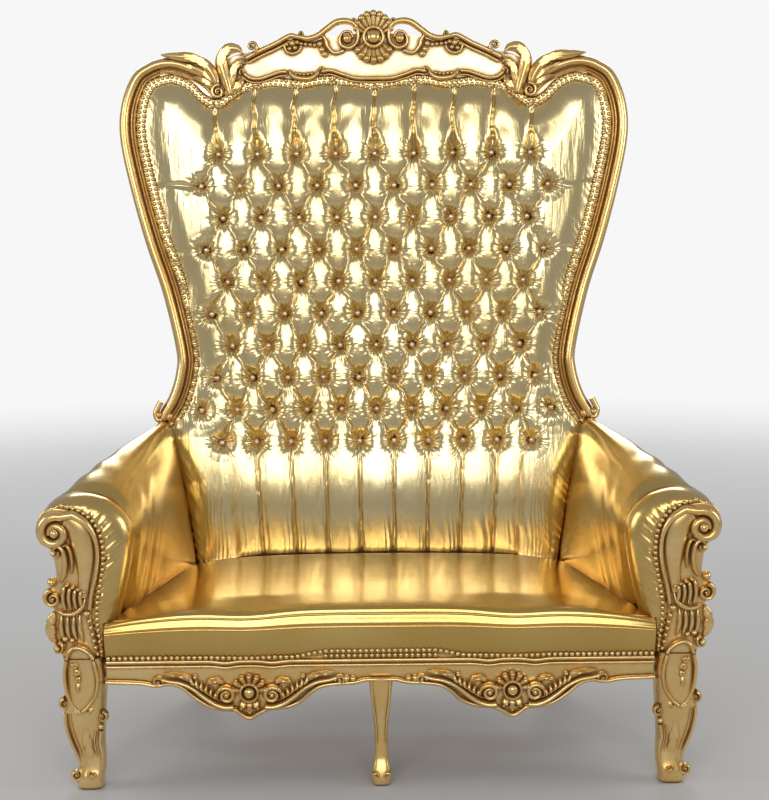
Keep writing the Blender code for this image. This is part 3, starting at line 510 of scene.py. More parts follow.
# %% Bars
def kept(items, kind):
    """Only the vertices, edges or faces among the results of an operation."""
    return [item for item in items if isinstance(item, kind)]


def roll(bm, rings):
    """Rolls a flat grid into a closed bar whose cross-sections are the given rings of points."""
    n, m = len(rings), len(rings[0])
    made = bmesh.ops.create_grid(bm, x_segments=n - 1, y_segments=m, size=0.5)["verts"]
    for vert in made:
        i = round((vert.co.x + 0.5) * (n - 1))
        j = round((vert.co.y + 0.5) * m) % m
        vert.co = rings[i][j]
    bmesh.ops.remove_doubles(bm, verts=made, dist=1e-6)
    rim = {edge for vert in made if vert.is_valid for edge in vert.link_edges if edge.is_boundary}
    bmesh.ops.holes_fill(bm, edges=list(rim), sides=0)


def even(t):
    return 1.0


def fading(t):
    return 1.0 - 0.6 * t


def tapered(t):
    """Pointed at both ends."""
    return max(0.12, math.sin(math.pi * min(1.0, 0.06 + 0.92 * t)) ** 0.6)


def bar(bm, line, section, y, shape=even, rise=0.0):
    """A bar along a line; section gives (across, forward) pairs, rise lifts its far end forward."""
    last = len(line) - 1
    rings = []
    for i, point in enumerate(line):
        side = sideways(line, i)
        size = shape(i / last)
        depth = y - rise * (i / last) ** 2
        ring = []
        for across, forward in section:
            place = point + side * (across * size)
            ring.append((place.x, depth - forward * size, place.y))
        rings.append(ring)
    roll(bm, rings)


def round_section(wide, lift, sides=14):
    turns = [2 * math.pi * k / sides for k in range(sides)]
    return [(wide * math.cos(a), lift * math.sin(a)) for a in turns]


def rod(bm, line, wide, lift, y, shape=even, rise=0.0, sides=14):
    """A plain rounded bar."""
    bar(bm, line, round_section(wide, lift, sides), y, shape, rise)


def scroll(bm, eye, radius, start, turns, wide, lift, y, inner=0.25):
    """A volute with a thinner tail and a small ball at its eye."""
    line = volute(eye, radius, start, turns, inner)
    rod(bm, line, wide, lift, y, lambda t: 1.0 - 0.45 * t)
    knob(bm, eye, max(wide * 0.8, radius * inner), lift * 0.9, y)


def ball_shape(name, sides, rows):
    """A ball one metre in radius, kept as a mesh to be stamped out in many places."""
    bm = bmesh.new()
    bmesh.ops.create_uvsphere(bm, u_segments=sides, v_segments=rows, radius=1.0)
    return mesh_of(name, bm)


def stamp(bm, shape, matrix):
    """Adds a copy of a small mesh, turned, sized and placed by a matrix."""
    copy = shape.copy()
    copy.transform(matrix)
    bm.from_mesh(copy)
    bpy.data.meshes.remove(copy)


BALL = ball_shape("ball", 18, 10)


def knob(bm, centre, radius, lift, y):
    """A ball, pressed to a half depth."""
    size = Matrix.Diagonal((radius, lift, radius, 1.0))
    stamp(bm, BALL, Matrix.Translation((centre[0], y, centre[1])) @ size)


def leaf(bm, points, wide, lift, y, lobes=4, ribs=3, rise=0.0):
    """An acanthus leaf: notched edges, a groove down the middle and ribs beside it."""
    line = smooth(points, max(4, 40 // len(points)))
    last, sides = len(line) - 1, 22
    rings = []
    for i, point in enumerate(line):
        t = i / last
        side = sideways(line, i)
        body = math.sin(math.pi * min(1.0, 0.10 + 0.88 * t)) ** 0.75
        notch = abs(math.sin(math.pi * lobes * t)) ** 0.8
        half = wide * max(0.05, body * (0.84 + 0.24 * notch))
        depth = y - rise * t * t
        ring = []
        for across, forward in round_section(1.0, 1.0, sides):
            if forward > 0:
                groove = 0.40 * math.exp(-(across / 0.16) ** 2)
                flute = 0.22 * math.cos(2 * math.pi * (ribs * abs(across) - 0.8 * lobes * t))
                forward *= (1.0 - groove - flute * abs(across)) * max(0.2, body)
            place = point + side * (across * half)
            ring.append((place.x, depth - forward * lift, place.y))
        rings.append(ring)
    roll(bm, rings)


def board(bm, outline, front, rear, soften):
    """A flat board; its front edges are softened by the given radius."""
    face = bm.faces.new([bm.verts.new((p[0], front, p[1])) for p in outline])
    edges = list(face.edges)
    made = bmesh.ops.extrude_face_region(bm, geom=[face])["geom"]
    bmesh.ops.translate(bm, vec=(0, rear - front, 0), verts=kept(made, bmesh.types.BMVert))
    if soften:
        bmesh.ops.bevel(bm, geom=[e for e in edges if e.is_valid], offset=soften, segments=3,
                        profile=0.5, affect="EDGES", material=-1, clamp_overlap=True)


def close_rim(bm, axis, value):
    """Draws the open rim of a sheet out to a plane and fills it there."""
    rim = [e for e in bm.edges if e.is_boundary]
    for vert in kept(bmesh.ops.extrude_edge_only(bm, edges=rim)["geom"], bmesh.types.BMVert):
        vert.co[axis] = value
    bmesh.ops.holes_fill(bm, edges=[e for e in bm.edges if e.is_boundary], sides=0)


def carve(bm, tool, *rows):
    """Uses one tool once for each row of its measures."""
    for row in rows:
        tool(bm, *row)


# %% Finished pieces
def mirror_all(bm):
    """Repeats everything drawn so far on the other side of the middle."""
    copy = bmesh.ops.duplicate(bm, geom=bm.verts[:] + bm.edges[:] + bm.faces[:])["geom"]
    bmesh.ops.scale(bm, vec=(-1.0, 1.0, 1.0), verts=kept(copy, bmesh.types.BMVert))
    bmesh.ops.reverse_faces(bm, faces=kept(copy, bmesh.types.BMFace))


def finish_piece(name, bm, material, replaces=(), angle=50):
    """Turns a bmesh into a smooth-shaded object that rides on the throne."""
    bmesh.ops.recalc_face_normals(bm, faces=bm.faces[:])
    mesh = mesh_of(name, bm)
    mesh.materials.append(material)
    mesh.shade_smooth()
    if angle:
        mesh.set_sharp_from_angle(angle=math.radians(angle))
    piece = add_object(name, mesh)
    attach(piece, "root")
    if replaces:
        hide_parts(*replaces)
    print(name, sum(len(face.vertices) - 2 for face in mesh.polygons), "triangles")


def both_sides(name, build, material, angle=50):
    """Builds a piece on the right and its mirror image on the left; each replaces its CAD node."""
    for side in ("right", "left"):
        bm = build()
        if side == "left":
            bmesh.ops.scale(bm, vec=(-1.0, 1.0, 1.0), verts=bm.verts[:])
            bmesh.ops.reverse_faces(bm, faces=bm.faces[:])
        finish_piece(f"{name}_{side}_shown", bm, material, (f"{name}_{side}",), angle)


# %% [markdown]
# ## The planes the throne is built on
#
# The front rail, legs and arm fronts are carved in nearly upright faces. The back leans: its
# face moves back by 13 cm for each metre of height, so everything on it is drawn upright and
# then sheared.

# %% Planes
SEAT_HEIGHT = 0.400
BACK_FACE = 0.1919  # Y of the back's face at the height of the seat
LEAN = 0.13  # how far the back goes back for each metre up
FRAME_DEPTH = 0.045
RAIL_FACE, ARM_FACE = -0.3801, -0.3741  # Y of the carved faces
RAIL_TOP = 0.295
ARM_FRONT_Y, ARM_REAR_Y = -0.3481, 0.160  # from the arm's wood to the face of the back


def back_y(z):
    return BACK_FACE + (z - SEAT_HEIGHT) * LEAN


def arm_share(y):
    """How far along the arm a depth lies: 0 at its front, 1 where it meets the back."""
    return max(0.0, min(1.0, (y - ARM_FRONT_Y) / (ARM_REAR_Y - ARM_FRONT_Y)))


def lean(bm):
    """Gives a piece of the back, drawn upright, its place and its lean."""
    for vert in bm.verts:
        vert.co.y += back_y(vert.co.z)
    return bm


# %% [markdown]
# ## The outline of the inside back
#
# The cover is nailed down inside the frame. Its edge follows the crease of the arm, the inner
# edge of the stile and the scalloped lower edge of the crest rail.

# %% Outline
STILE_LINE = [(0.556, 0.712), (0.534, 0.752), (0.508, 0.797), (0.490, 0.858), (0.489, 0.920),
              (0.522, 1.065), (0.565, 1.195), (0.603, 1.335), (0.627, 1.455), (0.624, 1.535),
              (0.600, 1.600), (0.567, 1.626), (0.520, 1.639)]
CREST_LOWER = [(0.0, 1.598), (0.07, 1.608), (0.13, 1.611), (0.19, 1.602), (0.25, 1.606),
               (0.30, 1.602), (0.34, 1.592), (0.375, 1.571), (0.402, 1.553), (0.432, 1.567),
               (0.457, 1.592), (0.482, 1.607), (0.515, 1.616), (0.545, 1.611)]
STILE_HALF = 0.0215
STILE = smooth(STILE_LINE, 6)


def stile_edge(distance, lowest):
    """The stile's line moved sideways, from a height up to where the crest takes over."""
    moved = offset(STILE, distance)
    return [p for p in moved if p.y > lowest and not (p.y > 1.5 and p.x < 0.552)]


def cover_edge(inset):
    """The right half of the cover's edge from the arm to the middle of the crest, moved inward."""
    side = stile_edge(STILE_HALF + inset, 0.70)
    top = [p for p in offset(smooth(CREST_LOWER, 5), -inset) if p.x < side[-1].x - 0.006]
    return side + top[::-1]


def outline_of(inset):
    """The whole closed outline, down to the seat rail."""
    foot = [Vector((0.455, RAIL_TOP)), Vector((0.462, 0.40)), Vector((0.492, 0.58))]
    return whole(foot + cover_edge(inset))


def inside_and_distance(points, outline):
    """For many points: whether each is inside a closed outline, how near its edge is, and where."""
    corners = np.array([tuple(p) for p in outline])
    following = np.roll(corners, -1, axis=0)
    inside = np.zeros(len(points), dtype=bool)
    distance = np.full(len(points), 9.0)
    nearest = points.copy()
    for a, b in zip(corners, following):
        spans = (a[1] > points[:, 1]) != (b[1] > points[:, 1])
        with np.errstate(divide="ignore", invalid="ignore"):
            rise = (points[:, 1] - a[1]) / (b[1] - a[1])
            crossing = (b[0] - a[0]) * rise + a[0]
        inside ^= spans & (points[:, 0] < crossing)
        along = b - a
        share = np.clip(((points - a) @ along) / max(1e-12, along @ along), 0.0, 1.0)
        foot = a + share[:, None] * along
        reach = np.hypot(*(points - foot).T)
        closer = reach < distance
        distance[closer] = reach[closer]
        nearest[closer] = foot[closer]
    return inside, distance, nearest


# %% [markdown]
# ## The deep-buttoned back
#
# Ninety-seven buttons stand in ten rows, every second row set off by half a pitch. Each one pulls
# the cover into a round hollow with small puckers about it, soft folds run from button to
# button, and straight pleats run up from the top row and down from the bottom row. At the
# sides, a level pleat runs out from every second row. All of it is a height over a fine grid,
# worked out from the places of the buttons, so the folds always end at a button.

# %% Buttons and folds
ROW_TOP, ROW_STEP, ROWS = 1.412, 0.0808, 10
BULGE = 0.032  # how far the filling stands out between the folds
FOLD, CREASE, TUCK = 0.0075, 0.0026, 0.0040  # depths of a fold, its sharp bottom and its overhang
COLUMN, PLEAT, SIDE_PLEAT = 0.013, 0.010, 0.0055  # above the top row, below the last, at the sides
HOLLOW, DRAWING = 0.0165, 0.0026  # depths of a button's hollow and of the lines that run to it
DRIFT = 0.0024  # how far a fold wanders from its straight line
BUTTON_REACH = 0.066  # beyond it, a button draws nothing in


def half_pitch(z):
    """Half the distance between buttons in a row: it narrows a little towards the seat."""
    return (0.0995 + (z - ROW_TOP) * 0.0165) / 2


def button_places():
    places = []
    for row in range(ROWS):
        z = ROW_TOP - row * ROW_STEP
        last = 9 if row % 2 else (10 if row == 8 else 8)
        for k in range(-last, last + 1):
            if (k + row) % 2 == 0:
                places.append((k * half_pitch(z), z))
    return np.array(places)


BUTTONS = button_places()


def step_up(value, low, high):
    t = np.clip((value - low) / (high - low), 0.0, 1.0)
    return t * t * (3 - 2 * t)


def wander(x, z):
    """Small drifts to the side and up, so that no two folds run quite alike."""
    across = np.sin(61 * x + 1.7 * np.sin(43 * z) + 0.5)
    across = across + 0.6 * np.sin(97 * z + 2.1 * np.sin(53 * x) + 1.9)
    along = np.sin(57 * z + 1.9 * np.sin(47 * x) + 2.7)
    along = along + 0.6 * np.sin(103 * x + 1.6 * np.sin(59 * z) + 0.3)
    return DRIFT * across, DRIFT * along


def tuck_depth(u, v):
    """Each puff hangs over the fold below it: deepest just under the fold, gone a little lower."""
    depth = 0.0
    for line in ((v + u) / 2, (v - u) / 2):
        side = (line - np.round(line)) * 2
        depth = depth + np.where(side > 0, np.exp(-side / 0.15), np.exp(side / 0.05))
    return depth


def fold_depth(x, z):
    """How far the cover is drawn in along the folds between the buttons."""
    last = ROWS - 1
    foot = ROW_TOP - last * ROW_STEP
    across, along = wander(x, z)
    loose = 0.25 + 0.95 * step_up(z, foot - 0.04, foot + 0.04)
    x, z = x + across * loose, z + along * loose
    v = (ROW_TOP - z) / ROW_STEP
    u = x / half_pitch(z)
    inner = np.clip(v, 0, last)
    tension = np.sin(31 * x + 2.2 * np.sin(27 * z)) * np.sin(37 * z + 1.1 + 1.3 * np.sin(23 * x))
    pull = 0.66 + 0.34 * tension
    diamond = np.abs(np.sin(np.pi * (u + inner) / 2) * np.sin(np.pi * (u - inner) / 2))
    crease = np.clip(1 - diamond / 0.26, 0, 1) ** 1.6
    fold = FOLD * (1 - diamond ** 0.7) + (CREASE * crease + TUCK * tuck_depth(u, inner)) * pull
    above = np.abs(np.sin(np.pi * u / 2))
    below = np.abs(np.sin(np.pi * (u + last) / 2))
    columns = COLUMN * (1 - above) + 0.008 * np.clip(1 - above / 0.16, 0, 1) ** 1.2
    pleats = 0.005 * (1 - below) + PLEAT * np.clip(1 - below / 0.12, 0, 1) ** 1.1
    beyond = np.maximum(-v, v - last)
    outer = fold + (np.where(v < 0, columns, pleats) - fold) * step_up(beyond, 0.0, 0.6)
    fold = np.where(beyond > 0, outer, fold)
    level = np.abs(np.cos(np.pi * v / 2))
    side = SIDE_PLEAT * np.clip(1 - level / 0.22, 0, 1) ** 1.2 * pull
    side = np.where((v < 0.5) | (v > last - 1), 0.0, side)
    return fold + (side - fold) * step_up(np.abs(u), 8.45, 9.15)


def button_depth(x, z):
    """The hollow about each button: long above it, short below, with drawing lines all round."""
    rng = np.random.default_rng(7)
    depth = np.zeros_like(x)
    for bx, bz in BUTTONS:
        near = np.nonzero(np.maximum(np.abs(x - bx), np.abs(z - bz)) < BUTTON_REACH)[0]
        dx, dz = x[near] - bx, z[near] - bz
        size, stretch = rng.uniform(0.84, 1.14), rng.uniform(0.90, 1.16)
        in_top_row = bz > ROW_TOP - 0.01
        tall = np.where(dz > 0, 0.040 if in_top_row else 0.0240, 0.0145) * size
        wide = 0.0205 * size * stretch * (1 - 0.5 * in_top_row * np.clip(dz / 0.05, 0, 1))
        away = np.hypot(dx / wide, dz / tall)
        angle = np.arctan2(dz, dx)
        hollow = HOLLOW * np.exp(-away ** 2.2)
        count, phase = rng.integers(9, 15), rng.uniform(0, 6.28)
        wave = np.abs(np.sin(count * angle / 2 + phase + 0.7 * np.sin(3 * angle + phase)))
        near_rim = np.exp(-((away - 0.95) / 0.45) ** 2)
        pucker = rng.uniform(0.0010, 0.0028) * (1 - wave) * near_rim
        for _ in range(9):
            way, reach = rng.uniform(0, 6.28), rng.uniform(0.026, 0.054)
            width, bend = rng.uniform(0.0017, 0.0032), rng.uniform(-9, 9)
            along = dx * math.cos(way) + dz * math.sin(way)
            off = -dx * math.sin(way) + dz * math.cos(way) + bend * along ** 2
            line = np.exp(-(off / width) ** 2) * np.clip(1 - along / reach, 0, 1)
            pucker += DRAWING * line * (along > 0.004)
        depth[near] += hollow + pucker
    return depth


def gather_depth(x, z, distance):
    """Short gathers under the nails, long ones above the seat, and a slow unevenness."""
    run = x * 1.3 + z
    ripple = np.sin(run * 210 + 3 * np.sin(run * 37)) * np.exp(-distance / 0.022)
    slow = np.sin(x * 23 + 1.3) * np.sin(z * 19 + 0.4)
    upright = np.sin(x * 480 + 5 * np.sin(x * 61) + 1.5 * np.sin(z * 40))
    return 0.0009 * ripple + 0.0012 * slow + 0.0005 * upright * step_up(0.60 - z, 0.0, 0.12)


# %% The padded back
def padded_board(outline, pitch, heights, rear):
    """A fine grid trimmed to an outline, raised by its heights and closed at the back."""
    corners = np.array([tuple(p) for p in outline])
    low, high = corners.min(axis=0), corners.max(axis=0)
    count_x, count_z = (int(n) for n in np.ceil((high - low) / pitch))
    bm = bmesh.new()
    bmesh.ops.create_grid(bm, x_segments=count_x, y_segments=count_z, size=0.5)
    size, middle = high - low, (low + high) / 2
    for vert in bm.verts:
        vert.co = (middle[0] + vert.co.x * size[0], 0.0, middle[1] + vert.co.y * size[1])
    flat = np.array([(v.co.x, v.co.z) for v in bm.verts])
    inside, distance, nearest = inside_and_distance(flat, outline)
    outside = [v for v, keep in zip(bm.verts[:], inside) if not keep]
    bmesh.ops.delete(bm, geom=outside, context="VERTS")
    flat, distance, nearest = flat[inside], distance[inside], nearest[inside]
    rim = np.array([v.is_boundary for v in bm.verts])
    flat[rim], distance[rim] = nearest[rim], 0.0
    rise = heights(flat[:, 0], flat[:, 1], distance)
    for vert, (x, z), h in zip(bm.verts, flat, rise):
        vert.co = (x, -h, z)
    close_rim(bm, 1, rear)
    return bm


def back_heights(x, z, distance):
    """Flat under the nails, then a shoulder, then the folds and hollows of the filling."""
    margin = 0.011 * step_up(z, 0.70, 0.76) + 0.011 * step_up(z, 1.0, 1.1)
    shoulder = np.clip((distance - margin) / 0.052, 0.0, 1.0)
    crown = np.clip((distance - margin) / 0.170, 0.0, 1.0)
    swell = 0.004 + (BULGE - 0.018) * np.sin(shoulder * math.pi / 2) ** 0.8
    swell += 0.014 * np.sin(crown * math.pi / 2)
    lumbar = np.sin(np.pi * np.clip((0.700 - z) / 0.300, 0, 1)) ** 1.2
    swell += 0.016 * lumbar * step_up(distance, 0.0, 0.06)
    tufted = fold_depth(x, z) + button_depth(x, z)
    return swell - tufted * step_up(distance, 0.010, 0.045) - gather_depth(x, z, distance)


def build_back():
    pitch = 0.0029
    bm = padded_board(outline_of(0.001), pitch, back_heights, FRAME_DEPTH - 0.004)
    ways = bm.loops.layers.uv.new("buttons")
    for face in bm.faces:
        middle = face.calc_center_median()
        reach = np.hypot(BUTTONS[:, 0] - middle.x, BUTTONS[:, 1] - middle.z)
        bx, bz = BUTTONS[int(reach.argmin())]
        for loop in face.loops:
            loop[ways].uv = (loop.vert.co.x - bx, loop.vert.co.z - bz)
    finish_piece("back_shown", lean(bm), COVER, ("back_pad",),
                 angle=0)


build_back()

# %% [markdown]
# ## The outside back
#
# Behind the frame, a plain cover is stretched over a board and nailed round its edge. It is
# almost flat, with a slight swell and faint pull lines along the nails.

# %% Outside back
BACK_FOOT = 0.225


def rear_outline():
    half = [Vector((0.550, BACK_FOOT)), Vector((0.553, 0.40)), Vector((0.553, 0.70))]
    half += stile_edge(-0.008, 0.745)
    for p in offset(smooth(CREST_LOWER, 5), 0.026)[::-1]:
        if p.x < half[-1].x - 0.006:
            half.append(p)
    return whole(half)


def rear_heights(x, z, distance):
    swell = 0.013 + 0.009 * np.sin(np.clip(distance / 0.12, 0, 1) * math.pi / 2)
    pull = 0.0006 * np.sin((x * 1.3 + z) * 150) * np.exp(-distance / 0.03)
    return swell - pull


def build_rear():
    pitch = 0.008
    bm = padded_board(rear_outline(), pitch, rear_heights, 0.001)
    bmesh.ops.scale(bm, vec=(1.0, -1.0, 1.0), verts=bm.verts[:])
    bmesh.ops.translate(bm, vec=(0.0, FRAME_DEPTH, 0.0), verts=bm.verts[:])
    finish_piece("rear_shown", lean(bm), ARM_COVER, ("back_panel",),
                 angle=0)


build_rear()

# %% [markdown]
# ## The arms
#
# Each arm is a thick roll over an upright side. It is widest in front, where its cover is
# drawn over a rounded edge and nailed beside the carved arm front, and it narrows and rises
# towards the back. A grid is wrapped over cross-sections that change along the arm.

# %% Padded arms
ARM_FRONT_RING = [(0.600, 0.295), (0.592, 0.340), (0.578, 0.395), (0.562, 0.465), (0.552, 0.520),
                  (0.549, 0.560), (0.559, 0.596), (0.580, 0.624), (0.610, 0.645), (0.655, 0.656),
                  (0.705, 0.650), (0.738, 0.628), (0.744, 0.588), (0.724, 0.500), (0.718, 0.400),
                  (0.710, 0.295)]
ARM_BACK_RING = [(0.462, 0.295), (0.462, 0.350), (0.464, 0.405), (0.474, 0.470), (0.484, 0.540),
                 (0.494, 0.590), (0.501, 0.635), (0.509, 0.675), (0.518, 0.712), (0.531, 0.736),
                 (0.547, 0.7415), (0.560, 0.728), (0.566, 0.690), (0.564, 0.560), (0.560, 0.420),
                 (0.556, 0.295)]
WOOD_EDGE = [(0.626, 0.295), (0.630, 0.330), (0.636, 0.380), (0.633, 0.430), (0.624, 0.475),
             (0.619, 0.510), (0.619, 0.545), (0.626, 0.577), (0.642, 0.602), (0.668, 0.621),
             (0.700, 0.630), (0.725, 0.622), (0.736, 0.588), (0.706, 0.500), (0.708, 0.400),
             (0.700, 0.295)]


# From the wood's edge to the full section: the share of the way, and the depth behind the front.
ROLL_EDGE = [(0.0, -0.022), (0.08, -0.0240), (0.20, -0.0245), (0.36, -0.0230), (0.54, -0.0185),
             (0.72, -0.0105), (0.86, -0.001), (0.95, 0.010), (1.0, 0.024), (0.985, 0.036),
             (0.965, 0.044), (0.970, 0.056)]
ARM_RINGS = 45


def arm_section(share):
    """The arm's cross-section at a share of its length; the roll swells a little in the middle."""
    ring = []
    for (ax, az), (bx, bz) in zip(ARM_FRONT_RING, ARM_BACK_RING):
        sag = 0.010 * math.sin(math.pi * share) * (az - RAIL_TOP) / 0.36
        ring.append(Vector((ax + (bx - ax) * share, az + (bz - az) * share + sag)))
    return smooth(ring, 9)


def build_arm():
    edge = smooth(WOOD_EDGE, 9)
    full = arm_section(0.0)
    rings = []
    for share, depth in ROLL_EDGE:
        ring = []
        for k, (a, b) in enumerate(zip(edge, full)):
            near_nails = math.exp(-((share - 0.25) / 0.28) ** 2) if depth < 0.03 else 0.0
            pucker = math.sin(k * 1.9 + 1.7 * math.sin(k * 0.7)) * near_nails * 0.0022
            place = a.lerp(b, share)
            ring.append((place.x, ARM_FRONT_Y + depth + pucker, place.y))
        rings.append(ring)
    start = ARM_FRONT_Y + ROLL_EDGE[-1][1]
    for k in range(1, ARM_RINGS + 1):
        y = start + (ARM_REAR_Y + 0.11 - start) * k / ARM_RINGS
        share = arm_share(y)
        pinch = 0.030 * math.exp(-(y - start) / 0.030)
        centre = Vector((0.650, 0.50)).lerp(Vector((0.515, 0.55)), share)
        ring = []
        for j, p in enumerate(arm_section(share)):
            wave = math.sin(j * 0.23 - y * 46 + 2 * math.sin(y * 17))
            wave *= math.sin(math.pi * min(1, share * 1.2))
            place = p.lerp(centre, pinch)
            ring.append((place.x + 0.0014 * wave, y, place.y + 0.0010 * wave))
        rings.append(ring)
    bm = bmesh.new()
    roll(bm, rings)
    far = bmesh.ops.bisect_plane(bm, geom=bm.verts[:] + bm.edges[:] + bm.faces[:],
                                 plane_co=(0, BACK_FACE + FRAME_DEPTH, SEAT_HEIGHT),
                                 plane_no=Vector((0, 1, -LEAN)).normalized(), clear_outer=True)
    rim = kept(far["geom_cut"], bmesh.types.BMEdge)
    bmesh.ops.triangle_fill(bm, use_beauty=True, edges=rim)
    return bm


both_sides("arm_pad", build_arm, ARM_COVER, angle=70)

# %% [markdown]
# ## The seat
#
# One wide cushion is upholstered over the seat frame: straight boxing in front, a rounded
# front edge, and a top that sinks towards the sides and the back.

# %% Seat cushion
SEAT_PROFILE = [(-0.3805, 0.296), (-0.3835, 0.315), (-0.3857, 0.338), (-0.3860, 0.3550),
                (-0.3838, 0.3585), (-0.3858, 0.3620), (-0.3832, 0.3690), (-0.3802, 0.3765),
                (-0.3778, 0.3790), (-0.3775, 0.3820), (-0.3738, 0.3880), (-0.364, 0.3920),
                (-0.345, 0.3940), (-0.30, 0.3955), (-0.22, 0.3975), (-0.12, 0.3990),
                (0.0, 0.4000), (0.08, 0.4005), (0.130, 0.4000), (0.152, 0.3960)]


def seat_half(y):
    """Half the width of the seat at a depth: it stands in front of the arms, then between them."""
    in_front = 0.612
    between = 0.590 + (0.463 - 0.590) * arm_share(y)
    t = max(0.0, min(1.0, (y + 0.376) / 0.026))
    return in_front + (between - in_front) * t * t * (3 - 2 * t)


def build_seat():
    profile = smooth(SEAT_PROFILE, 5)
    rows = len(profile) - 1
    bm = bmesh.new()
    made = bmesh.ops.create_grid(bm, x_segments=90, y_segments=rows, size=0.5)["verts"]
    for vert in made:
        u = vert.co.x * 2
        y, z = profile[round((vert.co.y + 0.5) * rows)]
        lift = (z - RAIL_TOP) / (0.39 - RAIL_TOP)
        crown = 0.012 * (1 - abs(u) ** 2.4) - 0.014 * abs(u) ** 6
        front = max(0.0, 1 - (y + 0.384) * 9)
        wave = -0.010 * math.exp(-((abs(u) - 0.48) / 0.14) ** 2) - 0.008 * abs(u) ** 3
        vert.co = (u * seat_half(y), y, z + (crown + wave * front) * min(1.0, lift) ** 2)
    close_rim(bm, 2, RAIL_TOP + 0.0005)
    bmesh.ops.remove_doubles(bm, verts=bm.verts[:], dist=1e-5)
    # The seat wears the darker amber copy of the leatherette, with its painted reflection and
    # shade.
    finish_piece("seat_shown", bm, SEAT_COVER_WITH_PAINTED_REFLECTION, ("seat_pad",),
                 angle=60)


build_seat()

# %% [markdown]
# ## The stiles
#
# Each side of the back is one long moulding: a fat round outside, a groove, and a thin bead
# beside the nails. It starts in a small scroll above the arm, bows in and out, and turns over
# at the corner into the crest.

# %% Moulded stiles
STILE_SECTION = [(1.02, -0.040), (1.02, 0.000), (0.96, 0.004), (0.86, 0.0065), (0.74, 0.0055),
                 (0.66, 0.0030), (0.60, 0.0045), (0.54, 0.0085), (0.46, 0.0100), (0.38, 0.0080),
                 (0.33, 0.0035), (0.27, 0.0030), (0.20, 0.0095), (0.06, 0.0165), (-0.12, 0.0205),
                 (-0.32, 0.0220), (-0.54, 0.0205), (-0.74, 0.0155), (-0.90, 0.0075),
                 (-1.00, -0.003), (-1.02, -0.040)]


def build_stile():
    corner = [(0.535, 1.636), (0.500, 1.634), (0.462, 1.620), (0.430, 1.600), (0.408, 1.576)]
    line = [p for p in smooth(STILE_LINE[:-1] + corner, 10) if p.y > 0.743]
    section = [(share * STILE_HALF, depth) for share, depth in STILE_SECTION]
    foot = smooth([(0.548, 0.790), (0.556, 0.775), (0.562, 0.760), (0.557, 0.745), (0.545, 0.744)])
    bm = bmesh.new()
    bar(bm, line, section, 0.0, lambda t: 1.0 - 0.25 * max(0.0, (t - 0.86) / 0.14))
    rod(bm, foot, 0.0075, 0.013, -0.010)
    carve(bm, knob, ((0.5525, 0.757), 0.009, 0.016, -0.010), ((0.531, 0.752), 0.012, 0.012, -0.004))
    return lean(bm)


both_sides("back_stile", build_stile, GILT)

# %% [markdown]
# ## The crest rail
#
# A smooth polished panel lies between two mouldings. In the middle stand a fluted shell with a
# ringed jewel and a C scroll on each side, and at each corner two acanthus leaves part above a
# small snail scroll, one upright and one lying over the stile.

# %% Crest rail
CREST_UPPER = [(0.545, 1.648), (0.515, 1.652), (0.470, 1.640), (0.430, 1.622), (0.408, 1.620),
               (0.390, 1.640), (0.360, 1.660), (0.330, 1.668), (0.285, 1.676), (0.230, 1.697),
               (0.195, 1.704), (0.160, 1.696), (0.120, 1.706), (0.05, 1.715), (0.0, 1.715)]


def crest_panel(bm):
    """The polished board behind the carving."""
    outline = smooth(CREST_LOWER, 4) + smooth(CREST_UPPER, 4)
    outline += [Vector((-p.x, p.y)) for p in reversed(outline[1:-1])]
    board(bm, outline, -0.004, FRAME_DEPTH - 0.001, 0.0)


